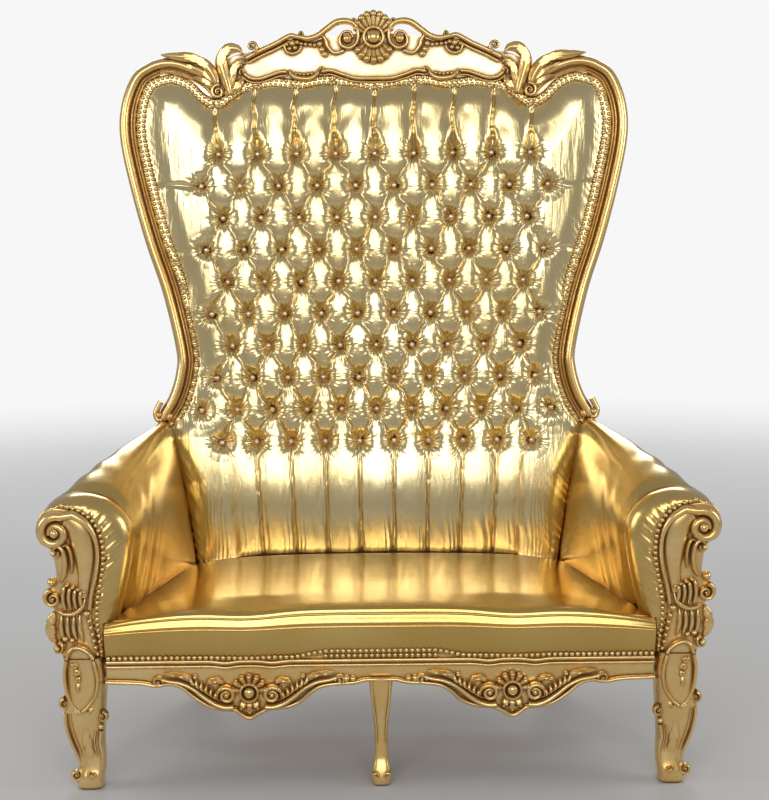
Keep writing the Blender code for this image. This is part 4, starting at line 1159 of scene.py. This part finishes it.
def crest_carving(bm):
    """The right half of the carving."""
    upper = smooth([(0.196, 1.708), (0.210, 1.711), (0.223, 1.706), (0.252, 1.690), (0.290, 1.673),
                    (0.325, 1.655)])
    arm = smooth([(0.198, 1.7085), (0.182, 1.7055), (0.165, 1.703), (0.142, 1.710), (0.119, 1.727),
                  (0.096, 1.743), (0.070, 1.747), (0.048, 1.738), (0.0385, 1.716), (0.043, 1.692),
                  (0.061, 1.679), (0.082, 1.686), (0.0855, 1.704), (0.077, 1.718), (0.061, 1.720),
                  (0.052, 1.706)])
    below = smooth([(0.134, 1.716), (0.122, 1.700), (0.116, 1.682), (0.100, 1.667), (0.076, 1.672)])
    cup = smooth([(0.228, 1.688), (0.221, 1.671), (0.205, 1.666), (0.190, 1.673), (0.184, 1.684)])
    low = smooth([(0.0, 1.602), (0.044, 1.603), (0.077, 1.612), (0.109, 1.6225), (0.130, 1.6200)])
    middle = smooth([(0.139, 1.625), (0.146, 1.613), (0.158, 1.6045), (0.175, 1.602),
                     (0.198, 1.6055), (0.210, 1.614), (0.216, 1.625)])
    high = smooth([(0.222, 1.620), (0.240, 1.619), (0.259, 1.613), (0.290, 1.603), (0.314, 1.605),
                   (0.330, 1.616)])
    carve(bm, rod, (upper, 0.0072, 0.013, -0.008), (offset(upper, -0.013), 0.0042, 0.009, -0.006),
          (arm, 0.0078, 0.016, -0.012,
           lambda t: 0.80 + 0.45 * math.sin(math.pi * min(1.0, 1.6 * t)) - 0.25 * t),
          (below, 0.0068, 0.012, -0.009, lambda t: 1.0 - 0.35 * t),
          (cup, 0.0042, 0.010, -0.008),
          (middle, 0.0058, 0.011, -0.008, lambda t: 0.7 + 0.5 * math.sin(math.pi * t)))
    for line in (low, high):
        carve(bm, rod, (line, 0.0052, 0.011, -0.008),
              (offset(line, -0.0095), 0.0030, 0.007, -0.006))
    carve(bm, scroll, ((0.3097, 1.684), 0.0165, 250, -1.25, 0.0052, 0.013, -0.012),
          ((0.186, 1.716), 0.0085, 270, -1.1, 0.0042, 0.011, -0.010),
          ((0.134, 1.6265), 0.0075, 270, -1.1, 0.0036, 0.010, -0.010),
          ((0.334, 1.621), 0.009, 300, 1.1, 0.0038, 0.010, -0.010),
          ((0.396, 1.570), 0.0185, 100, -1.6, 0.0054, 0.015, -0.018))
    carve(bm, knob, ((0.0665, 1.703), 0.0125, 0.017, -0.014),
          ((0.207, 1.692), 0.0095, 0.011, -0.009))
    for centre in ((0.131, 1.676), (0.137, 1.690), (0.124, 1.664)):
        knob(bm, centre, 0.0085, 0.009, -0.008)
    for centre in ((0.222, 1.689), (0.194, 1.694), (0.214, 1.678), (0.200, 1.680)):
        knob(bm, centre, 0.007, 0.011, -0.009)
    for k in range(4):
        knob(bm, (0.150 + 0.0115 * k, 1.687 + 0.0012 * k), 0.0062, 0.009, -0.008)
    for k in range(5):
        knob(bm, (0.158 + 0.010 * k, 1.6150 - 0.0012 * (2 - abs(k - 2))), 0.0058, 0.009, -0.007)
    carve(bm, leaf,
          ([(0.366, 1.566), (0.376, 1.600), (0.386, 1.636), (0.384, 1.662), (0.368, 1.678),
            (0.346, 1.678), (0.332, 1.667)], 0.017, 0.018, -0.012, 2, 2, 0.010),
          ([(0.366, 1.570), (0.363, 1.602), (0.354, 1.630), (0.338, 1.646), (0.326, 1.640)],
           0.013, 0.015, -0.010, 2, 2),
          ([(0.376, 1.566), (0.356, 1.577), (0.342, 1.592), (0.332, 1.606)],
           0.012, 0.012, -0.009, 3),
          ([(0.384, 1.566), (0.366, 1.572), (0.352, 1.580)], 0.009, 0.010, -0.008, 2),
          ([(0.396, 1.580), (0.408, 1.612), (0.430, 1.640), (0.464, 1.656), (0.504, 1.660),
            (0.541, 1.664)], 0.015, 0.017, -0.016, 2, 2),
          ([(0.399, 1.578), (0.414, 1.602), (0.438, 1.622), (0.470, 1.634), (0.498, 1.638)],
           0.010, 0.014, -0.013, 3, 2),
          ([(0.400, 1.574), (0.416, 1.588), (0.438, 1.602), (0.460, 1.608)],
           0.009, 0.012, -0.011, 2, 2))


def crest_shell(bm):
    """The fluted shell, its jewel and the ring about it, on the middle line."""
    jewel = Vector((0.0, 1.706))
    for middle, step, count, reach in ((90, 16.0, 4, 0.064), (270, 17.0, 3, 0.061)):
        for k in range(-count, count + 1):
            way = towards(middle + step * k)
            far = reach - 0.0007 * k * k
            half = far * math.radians(step) * 0.56
            flute = [jewel + way * 0.018, jewel + way * (0.55 * far), jewel + way * (0.92 * far)]
            rod(bm, flute, half, 0.013, -0.013, lambda t: 0.36 + 0.64 * t)
            knob(bm, jewel + way * (0.93 * far), half * 1.04, 0.015, -0.014)
    carve(bm, scroll, ((-0.052, 1.7475), 0.0085, 290, 1.1, 0.0042, 0.012, -0.014),
          ((0.052, 1.7475), 0.0085, 250, -1.1, 0.0042, 0.012, -0.014))
    rod(bm, circle(jewel, 0.0245, 41), 0.0050, 0.011, -0.026)
    knob(bm, jewel, 0.0170, 0.014, -0.028)


def build_crest():
    bm = bmesh.new()
    crest_carving(bm)
    mirror_all(bm)
    crest_shell(bm)
    finish_piece("crest_carving", lean(bm), GILT)
    bm = bmesh.new()
    crest_panel(bm)
    finish_piece("crest_panel", lean(bm), PLAIN_GILT, ("crest_rail",), angle=40)


build_crest()

# %% [markdown]
# ## The arm fronts
#
# Each arm ends in a carved face. Its raised edge runs up, over and into a volute, round a smooth
# comma-shaped field. Below are a smaller scroll, a spray of fingers and a fluted neck.

# %% Arm fronts
ARM_OUTLINE = [(0.626, 0.2953), (0.634, 0.340), (0.640, 0.397), (0.635, 0.425), (0.626, 0.463),
               (0.618, 0.505), (0.617, 0.543), (0.625, 0.577), (0.643, 0.605), (0.675, 0.625),
               (0.707, 0.632), (0.737, 0.627), (0.752, 0.606), (0.758, 0.577), (0.748, 0.551),
               (0.724, 0.536), (0.711, 0.494), (0.722, 0.464), (0.740, 0.430), (0.720, 0.398),
               (0.728, 0.362), (0.722, 0.325), (0.706, 0.2953)]


def build_arm_front():
    bm = bmesh.new()
    face = ARM_FACE
    board(bm, smooth(ARM_OUTLINE, 3), face, ARM_FRONT_Y - 0.0004, 0.004)
    eye = Vector((0.7145, 0.5775))
    rim = smooth([(0.6430, 0.405), (0.6380, 0.440), (0.6290, 0.475), (0.6235, 0.510),
                  (0.6230, 0.543), (0.6305, 0.574), (0.6470, 0.599), (0.6740, 0.618)])
    field = smooth([(0.692, 0.607), (0.676, 0.600), (0.663, 0.583), (0.657, 0.558), (0.652, 0.525),
                    (0.651, 0.495), (0.654, 0.462), (0.660, 0.432)])
    neck = smooth([(0.722, 0.536), (0.709, 0.548), (0.697, 0.538), (0.692, 0.512), (0.696, 0.484),
                   (0.706, 0.466)])
    inner = smooth([(0.704, 0.546), (0.690, 0.550), (0.681, 0.536), (0.678, 0.510), (0.681, 0.484)])
    base = smooth([(0.716, 0.404), (0.698, 0.395), (0.675, 0.397), (0.657, 0.412), (0.652, 0.432)])
    arch = smooth([(0.636, 0.2958), (0.644, 0.309), (0.660, 0.320), (0.676, 0.322), (0.688, 0.313),
                   (0.6945, 0.2958)])
    carve(bm, rod,
          (rim + volute(eye, 0.0390, 112, -1.35, 0.30), 0.0100, 0.016, face - 0.003,
           lambda t: 0.46 + 0.58 * step_up(t, 0.34, 0.62) - 0.30 * step_up(t, 0.80, 1.0)),
          (field, 0.0270, 0.020, face + 0.003,
           lambda t: 0.55 + 0.45 * math.sin(math.pi * min(1.0, 0.12 + 1.05 * t)) ** 1.2, 0.0, 22),
          (neck, 0.0062, 0.014, face - 0.004, tapered),
          (inner, 0.0045, 0.014, face - 0.004, tapered),
          (base, 0.0062, 0.012, face - 0.002, tapered),
          (arch, 0.0046, 0.010, face - 0.0175))
    board(bm, arch, face - 0.0170, face - 0.0005, 0.002)
    carve(bm, scroll, ((0.7160, 0.532), 0.0095, 150, 1.1, 0.0046, 0.013, face - 0.003),
          ((0.7225, 0.430), 0.0205, 70, -1.5, 0.0062, 0.014, face - 0.004, 0.24),
          ((0.7145, 0.3185), 0.0145, 100, 1.2, 0.0056, 0.016, face - 0.005))
    carve(bm, knob, (eye, 0.0120, 0.019, face - 0.005),
          ((0.7180, 0.5320), 0.0080, 0.014, face - 0.003),
          ((0.7245, 0.4665), 0.0105, 0.015, face - 0.001),
          ((0.7145, 0.3185), 0.0080, 0.017, face - 0.006),
          ((0.698, 0.3385), 0.0078, 0.013, face - 0.002),
          ((0.683, 0.3355), 0.0070, 0.012, face - 0.002),
          ((0.650, 0.3955), 0.0082, 0.013, face - 0.002))
    leaf(bm, [(0.722, 0.398), (0.730, 0.372), (0.728, 0.345), (0.718, 0.326)],
         0.0120, 0.013, face - 0.001, 3, 1)
    for k in range(4):
        x = 0.700 - 0.0125 * k
        finger = [(x - 0.004, 0.404), (x, 0.428), (x - 0.002, 0.452 - 0.003 * k),
                  (x - 0.008, 0.462 - 0.005 * k)]
        rod(bm, smooth(finger), 0.0058, 0.013, face - 0.003, tapered)
        knob(bm, (x - 0.009, 0.460 - 0.005 * k), 0.0048, 0.010, face - 0.004)
        head, foot = Vector((0.705 - 0.0135 * k, 0.393)), Vector((0.700 - 0.0140 * k, 0.330))
        middle = (foot + head) / 2 + Vector((0.004, 0))
        rod(bm, smooth([head, middle, foot]), 0.0058, 0.011, face - 0.001, tapered)
    for k in range(6):
        knob(bm, (0.6455 - 0.0036 * k, 0.378 - 0.0150 * k), 0.0060, 0.009, face - 0.001)
    return bm


both_sides("arm_front", build_arm_front, GILT)

# %% [markdown]
# ## The legs
#
# The front legs are carved cabriole legs with raised edges, a flower in an oval on the knee and
# a scrolled toe. A slim leg stands under the middle of the front rail, and two plain sabre legs
# stand at the back. Their bodies are level ovals that change from the floor up.

# %% Front legs
FRONT_LEG = [(0.0, 0.648, 0.023, -0.381, 0.022), (0.005, 0.649, 0.028, -0.381, 0.027),
             (0.014, 0.649, 0.029, -0.381, 0.030), (0.030, 0.648, 0.029, -0.380, 0.030),
             (0.048, 0.645, 0.029, -0.375, 0.028), (0.080, 0.650, 0.033, -0.369, 0.026),
             (0.100, 0.655, 0.037, -0.366, 0.028), (0.126, 0.660, 0.042, -0.363, 0.032),
             (0.150, 0.662, 0.045, -0.361, 0.036), (0.190, 0.661, 0.046, -0.359, 0.041),
             (0.224, 0.658, 0.045, -0.357, 0.044), (0.262, 0.659, 0.044, -0.355, 0.045),
             (0.2948, 0.662, 0.044, -0.354, 0.043)]


def oval(x, y, half_x, half_y, z, sides=28):
    """A level ring with softly squared corners."""
    ring = []
    for k in range(sides):
        turn = 2 * math.pi * k / sides
        along, across = math.cos(turn), math.sin(turn)
        square = (abs(along) ** 3.6 + abs(across) ** 3.6) ** (-1 / 3.6)
        ring.append((x + half_x * square * along, y + half_y * square * across, z))
    return ring


def stacked(bm, table, steps=5):
    """A body through level ovals given as (z, x, half width, y, half depth)."""
    across = smooth([(row[1], row[2]) for row in table], steps)
    depth = smooth([(row[3], row[4]) for row in table], steps)
    height = smooth([(row[0], 0) for row in table], steps)
    roll(bm, [oval(a.x, d.x, a.y, d.y, max(0.0, h.x)) for a, d, h in zip(across, depth, height)])


def build_front_leg():
    bm = bmesh.new()
    stacked(bm, FRONT_LEG)
    shield = smooth([(0.636, 0.2940), (0.6295, 0.275), (0.626, 0.245), (0.632, 0.215),
                     (0.648, 0.190), (0.661, 0.178)])
    rim = smooth([(0.6945, 0.2940), (0.7000, 0.262), (0.696, 0.225), (0.684, 0.192),
                  (0.668, 0.176)])
    carve(bm, rod, (shield, 0.0046, 0.010, -0.397), (rim, 0.0048, 0.010, -0.394))
    flowers = ((0.675, 0.283, 0.0080), (0.671, 0.268, 0.0090), (0.668, 0.252, 0.0075))
    for k, (x, z, size) in enumerate(flowers):
        for turn in (35, 155, 275):
            way, heart = towards(turn + 40 * k), Vector((x, z))
            petal = [heart, heart + way * size * 0.4, heart + way * size * 1.25]
            leaf(bm, petal, size * 0.62, 0.009, -0.399, 1, 1)
    carve(bm, leaf, ([(0.668, 0.246), (0.670, 0.232), (0.668, 0.216)], 0.0062, 0.009, -0.397, 2, 1),
          ([(0.684, 0.190), (0.676, 0.180), (0.664, 0.176), (0.654, 0.181)],
           0.0075, 0.011, -0.393, 3, 1),
          ([(0.640, 0.190), (0.646, 0.178), (0.656, 0.172)], 0.0070, 0.010, -0.393, 2, 1),
          ([(0.655, 0.150), (0.656, 0.120), (0.651, 0.092), (0.645, 0.066), (0.643, 0.050)],
           0.012, 0.010, -0.391, 4, 2, -0.002))
    carve(bm, scroll, ((0.7015, 0.193), 0.0125, 85, -1.3, 0.0052, 0.014, -0.386),
          ((0.6195, 0.163), 0.0125, 95, 1.3, 0.0052, 0.014, -0.386),
          ((0.679, 0.0335), 0.0150, 120, 1.5, 0.0060, 0.016, -0.394),
          ((0.641, 0.0335), 0.0120, 60, -1.4, 0.0050, 0.014, -0.400))
    knob(bm, (0.6235, 0.1405), 0.0080, 0.013, -0.386)
    outer = smooth([(0.7055, 0.172), (0.7045, 0.148), (0.6985, 0.120), (0.6875, 0.090),
                    (0.677, 0.064), (0.674, 0.046)])
    inner = smooth([(0.6185, 0.132), (0.6215, 0.104), (0.6165, 0.076), (0.6175, 0.050)])
    for inset, wide, lift in ((0.0045, 0.0052, 0.012), (0.0165, 0.0032, 0.008)):
        aside = Vector((inset, 0))
        carve(bm, rod,
              ([p - aside for p in outer], wide, lift, -0.386 - inset * 0.3, even, -0.003),
              ([p + aside for p in inner], wide, lift, -0.385 - inset * 0.3, even, -0.002))
    return bm


both_sides("front_leg", build_front_leg, GILT)

# %% Middle and back legs
MIDDLE_LEG = [(0.0, 0.0, 0.015, -0.383, 0.017), (0.006, 0.0, 0.020, -0.383, 0.023),
              (0.020, 0.0, 0.0225, -0.382, 0.024), (0.040, 0.0, 0.020, -0.378, 0.021),
              (0.062, 0.0, 0.0155, -0.373, 0.016), (0.101, 0.0, 0.0145, -0.369, 0.015),
              (0.156, 0.0, 0.018, -0.367, 0.018), (0.215, 0.0, 0.025, -0.367, 0.022),
              (0.2455, 0.0, 0.027, -0.367, 0.024)]


BACK_LEG_TOP = (0.455, 0.1784, 0.2247)
BACK_LEG_SWEEP, BACK_LEG_HALF = 0.190, 0.022


def build_middle_leg():
    bm = bmesh.new()
    stacked(bm, MIDDLE_LEG)
    for way in (-1, 1):
        edge = [(0.021, 0.240), (0.018, 0.190), (0.012, 0.140), (0.010, 0.095)]
        line = smooth([(way * x, z) for x, z in edge])
        rod(bm, line, 0.0038, 0.006, -0.384, fading)
        scroll(bm, (way * 0.012, 0.024), 0.0085, 90 - way * 60, way * 1.2, 0.0035, 0.008, -0.402)
    finish_piece("middle_leg_shown", bm, GILT, ("middle_leg",))


def build_back_leg():
    """A sabre leg: it sweeps back towards the floor and grows a little slimmer."""
    table = []
    for k in range(9):
        share = k / 8
        y = BACK_LEG_TOP[1] + BACK_LEG_SWEEP * (1 - share) ** 1.7
        half = BACK_LEG_HALF * (0.8 + 0.2 * share)
        table.append((share * BACK_LEG_TOP[2], BACK_LEG_TOP[0], half, y, half))
    bm = bmesh.new()
    stacked(bm, table)
    return bm


build_middle_leg()
both_sides("back_leg", build_back_leg, GILT)

# %% [markdown]
# ## The front rail
#
# A plain moulded rail carries two carved pendants. Each is a small shell above a ringed jewel,
# with a C scroll and leaf sprays on both sides, and its scrolled lower edge hangs below the rail.

# %% Front rail
RAIL_LOWER = [(0.6095, 0.246), (0.536, 0.243), (0.500, 0.237), (0.471, 0.241), (0.441, 0.233),
              (0.415, 0.212), (0.384, 0.191), (0.354, 0.182), (0.324, 0.180), (0.308, 0.169),
              (0.293, 0.161), (0.277, 0.170), (0.250, 0.182), (0.216, 0.185), (0.185, 0.196),
              (0.162, 0.216), (0.138, 0.231), (0.108, 0.237), (0.060, 0.240), (0.035, 0.246),
              (0.0, 0.246)]
PENDANT = Vector((0.2925, 0.216))


def rail_carving(bm, face):
    """The right half: mouldings above and below, and one pendant between them."""
    rod(bm, offset(smooth(RAIL_LOWER, 4), 0.006), 0.0055, 0.011, face)
    for x, radius in ((0.062, 0.0080), (0.077, 0.0095), (0.092, 0.0070)):
        knob(bm, (x, 0.2420), radius, 0.012, face)
    for height, wide, lift in ((0.2845, 0.0050, 0.008), (0.2735, 0.0036, 0.006)):
        line = []
        for x in np.linspace(0.0, 0.609, 120):
            bow = math.exp(-((abs(x - PENDANT.x) - 0.052) / 0.022) ** 2)
            line.append(Vector((x, height - 0.0038 * bow)))
        rod(bm, line, wide, lift, face)
    for k in range(-3, 4):
        way = towards(90 + 27 * k)
        flute = [PENDANT + way * 0.018, PENDANT + way * 0.026, PENDANT + way * 0.034]
        rod(bm, flute, 0.0078, 0.011, face - 0.008, lambda t: 0.6 + 0.4 * t)
        knob(bm, PENDANT + way * 0.0355, 0.0064, 0.012, face - 0.010)
    rod(bm, circle(PENDANT, 0.0195, 37), 0.0040, 0.011, face - 0.012)
    knob(bm, PENDANT, 0.0135, 0.015, face - 0.012)
    for way in (-1, 0, 1):
        drop = [(0.010, -0.020), (0.016, -0.034), (0.012, -0.052 + 0.012 * abs(way))]
        leaf(bm, from_pendant(way, drop), 0.0095, 0.013, face - 0.004, 2, 1)
    for way in (-1, 1):
        pendant_arm(bm, face, way)


def from_pendant(way, points):
    """Points given from the middle of the pendant, to its right (1) or its left (-1)."""
    return [PENDANT + Vector((way * x, z)) for x, z in points]


def pendant_arm(bm, face, way):
    """A C scroll, a long arm with a spray of fingers, two leaves and a scroll at the end."""
    (eye,) = from_pendant(way, [(0.0505, -0.006)])
    rod(bm, volute(eye, 0.0220, 90 - way * 110, way * 1.5, 0.34), 0.0060, 0.014, face - 0.009,
        lambda t: min(1.0, 0.25 + 6 * t) * (1.1 - 0.35 * t))
    knob(bm, eye, 0.0080, 0.013, face - 0.009)
    arm = smooth(from_pendant(way, [(0.036, -0.034), (0.056, -0.034), (0.078, -0.026),
                                    (0.102, -0.010), (0.126, 0.009), (0.152, 0.021),
                                    (0.180, 0.026), (0.196, 0.031)]))
    rod(bm, arm, 0.0068, 0.015, face - 0.004, lambda t: 1.15 - 0.5 * t)
    rod(bm, offset(arm, way * 0.0115)[10:-12], 0.0034, 0.010, face - 0.004, tapered)
    for k in range(6):
        foot, tip = from_pendant(way, [(0.074 + 0.0085 * k, -0.018 + 0.0062 * k),
                                       (0.070 + 0.0120 * k, 0.004 + 0.0066 * k)])
        middle = (foot + tip) / 2 + Vector((way * 0.004, -0.002))
        rod(bm, smooth([foot, middle, tip]), 0.0050, 0.013, face - 0.004, tapered)
    outer = [(0.122, 0.026), (0.142, 0.036), (0.166, 0.040), (0.190, 0.042)]
    inner = [(0.056, 0.018), (0.070, 0.026), (0.086, 0.024), (0.096, 0.014)]
    for points, wide in ((outer, 0.0060), (inner, 0.0068)):
        leaf(bm, from_pendant(way, points), wide, 0.012, face - 0.003, 2, 1)
    berry, end = from_pendant(way, [(0.120, 0.034), (0.203, 0.024)])
    knob(bm, berry, 0.0058, 0.011, face - 0.003)
    scroll(bm, end, 0.0125, 90 + way * 90, -way * 1.2, 0.0048, 0.012, face - 0.003)


def build_front_rail():
    bm = bmesh.new()
    rail_carving(bm, RAIL_FACE)
    mirror_all(bm)
    half = [Vector((0.6095, RAIL_TOP))] + smooth(RAIL_LOWER, 3)[:-1]
    outline = half + [Vector((-p.x, p.y)) for p in reversed(half)]
    board(bm, outline, RAIL_FACE, RAIL_FACE + 0.0278, 0.002)
    finish_piece("front_rail_shown", bm, GILT, ("front_rail",))


build_front_rail()

# %% [markdown]
# ## Nail heads and buttons
#
# Almost a thousand domed nails hold the cover: two rows round the upper back, one beside the
# arms and along the seat. Each head is a low dome of a few dozen faces, turned to the surface it
# sits on. The buttons are small faceted stones in gold cups.

# %% Nails
def dome(bm, place, outward, radius, lift, shape):
    turn = Vector(outward).normalized().to_track_quat("Z", "Y").to_matrix().to_4x4()
    size = Matrix.Diagonal((radius, radius, lift, 1.0))
    stamp(bm, shape, Matrix.Translation(place) @ turn @ size)


def nail(bm, place, outward, lift=0.0045):
    dome(bm, place, outward, NAIL, lift, NAIL_HEAD)


NAIL_HEAD = ball_shape("nail head", 8, 6)
NAIL = 0.0056  # radius
NAIL_PITCH, SEAT_PITCH, REAR_PITCH = 0.0125, 0.0128, 0.014  # from nail to nail
BACK_OUT = Vector((0, -1, LEAN)).normalized()


def nail_back(bm):
    for inset, low in ((0.0070, 0.745), (0.0190, 1.05)):
        for point, _ in spaced([p for p in cover_edge(inset) if p.y > low], NAIL_PITCH):
            for way in ((-1, 1) if point.x > 0.002 else (1,)):
                nail(bm, (way * point.x, back_y(point.y) - 0.0050, point.y), BACK_OUT)


def nail_seat(bm):
    """One line along the seat, which rises over a second, short line in the middle."""
    line = []
    for x in np.linspace(-0.604, 0.604, 160):
        rise = 0.0125 * (1 - step_up(abs(x), 0.115, 0.20))
        sag = 0.0022 * math.exp(-((abs(x) - 0.30) / 0.05) ** 2)
        line.append(Vector((x, 0.2935 + rise - sag)))
    short = [Vector((-0.122, 0.2955)), Vector((0.122, 0.2955))]
    for run, lift in ((line, 0.0050), (short, 0.0045)):
        for point, _ in spaced(run, SEAT_PITCH):
            nail(bm, (point.x, RAIL_FACE - 0.0050, point.y), (0, -1, 0), lift)


def nail_arms(bm):
    for point, along in spaced(offset(smooth(WOOD_EDGE[1:11], 6), 0.0075), NAIL_PITCH):
        for way in (-1, 1):
            place = (way * point.x, ARM_FRONT_Y - 0.0262, point.y)
            nail(bm, place, (way * along.y * -0.4, -1, along.x * 0.4), 0.0052)


def nail_sides(bm):
    """A row along the lower edge of each arm's outer side, where the cover meets the side rail."""
    for k in range(43):
        y = ARM_FRONT_Y + 0.030 + SEAT_PITCH * k
        x = 0.7105 + (0.556 - 0.7105) * arm_share(y)
        for way in (-1, 1):
            nail(bm, (way * x, y, RAIL_TOP + 0.0085), (way, 0.3, 0), 0.0048)


def nail_rear(bm):
    half = [p for p in rear_outline() if p.x >= 0]
    for point, _ in spaced(offset(half, 0.010), REAR_PITCH):
        y = back_y(point.y) + FRAME_DEPTH + 0.0145
        for way in ((-1, 1) if point.x > 0.004 else (1,)):
            nail(bm, (way * point.x, y, point.y), -BACK_OUT)


def build_nails():
    for name, lay in (("back", nail_back), ("seat", nail_seat), ("arms", nail_arms),
                      ("sides", nail_sides), ("rear", nail_rear)):
        bm = bmesh.new()
        lay(bm)
        finish_piece(f"nails_{name}", bm, NAIL_GILT, angle=0)


build_nails()


# %% Buttons
def stone_finish():
    """A pinkish pearly stone in a gold cup, with a clear hard glint."""
    made, tree, shader = new_material("button stones")
    slow = use_group(tree, GRAIN, Fine=500.0, Slow=60.0, Rough=0.5)["Slow"]
    drift = remap(tree, slow, 0.35, 0.65)
    feed(tree, shader, Base_Color=mix_colours(tree, drift, (0.84, 0.68, 0.60), (0.74, 0.52, 0.37)),
         Roughness=remap(tree, slow, 0.3, 0.7, 0.10, 0.22), Metallic=0.55, Coat_Weight=1.0,
         Coat_Roughness=0.04)
    return made


def build_buttons():
    stones, cups = bmesh.new(), bmesh.new()
    cup = ball_shape("button cup", 12, 6)
    inside, distance, _ = inside_and_distance(BUTTONS, outline_of(0.001))
    heights = back_heights(BUTTONS[:, 0], BUTTONS[:, 1], distance)
    for (x, z), keep, away, h in zip(BUTTONS, inside, distance, heights):
        if keep and away > 0.012:
            y = back_y(z) - h
            dome(cups, (x, y - 0.0010, z), BACK_OUT, 0.0078, 0.0034, cup)
            dome(stones, (x, y - 0.0030, z), BACK_OUT, 0.0058, 0.0045, NAIL_HEAD)
    finish_piece("button_cups", cups, NAIL_GILT, angle=0)
    finish_piece("button_stones", stones, stone_finish(), angle=20)


build_buttons()
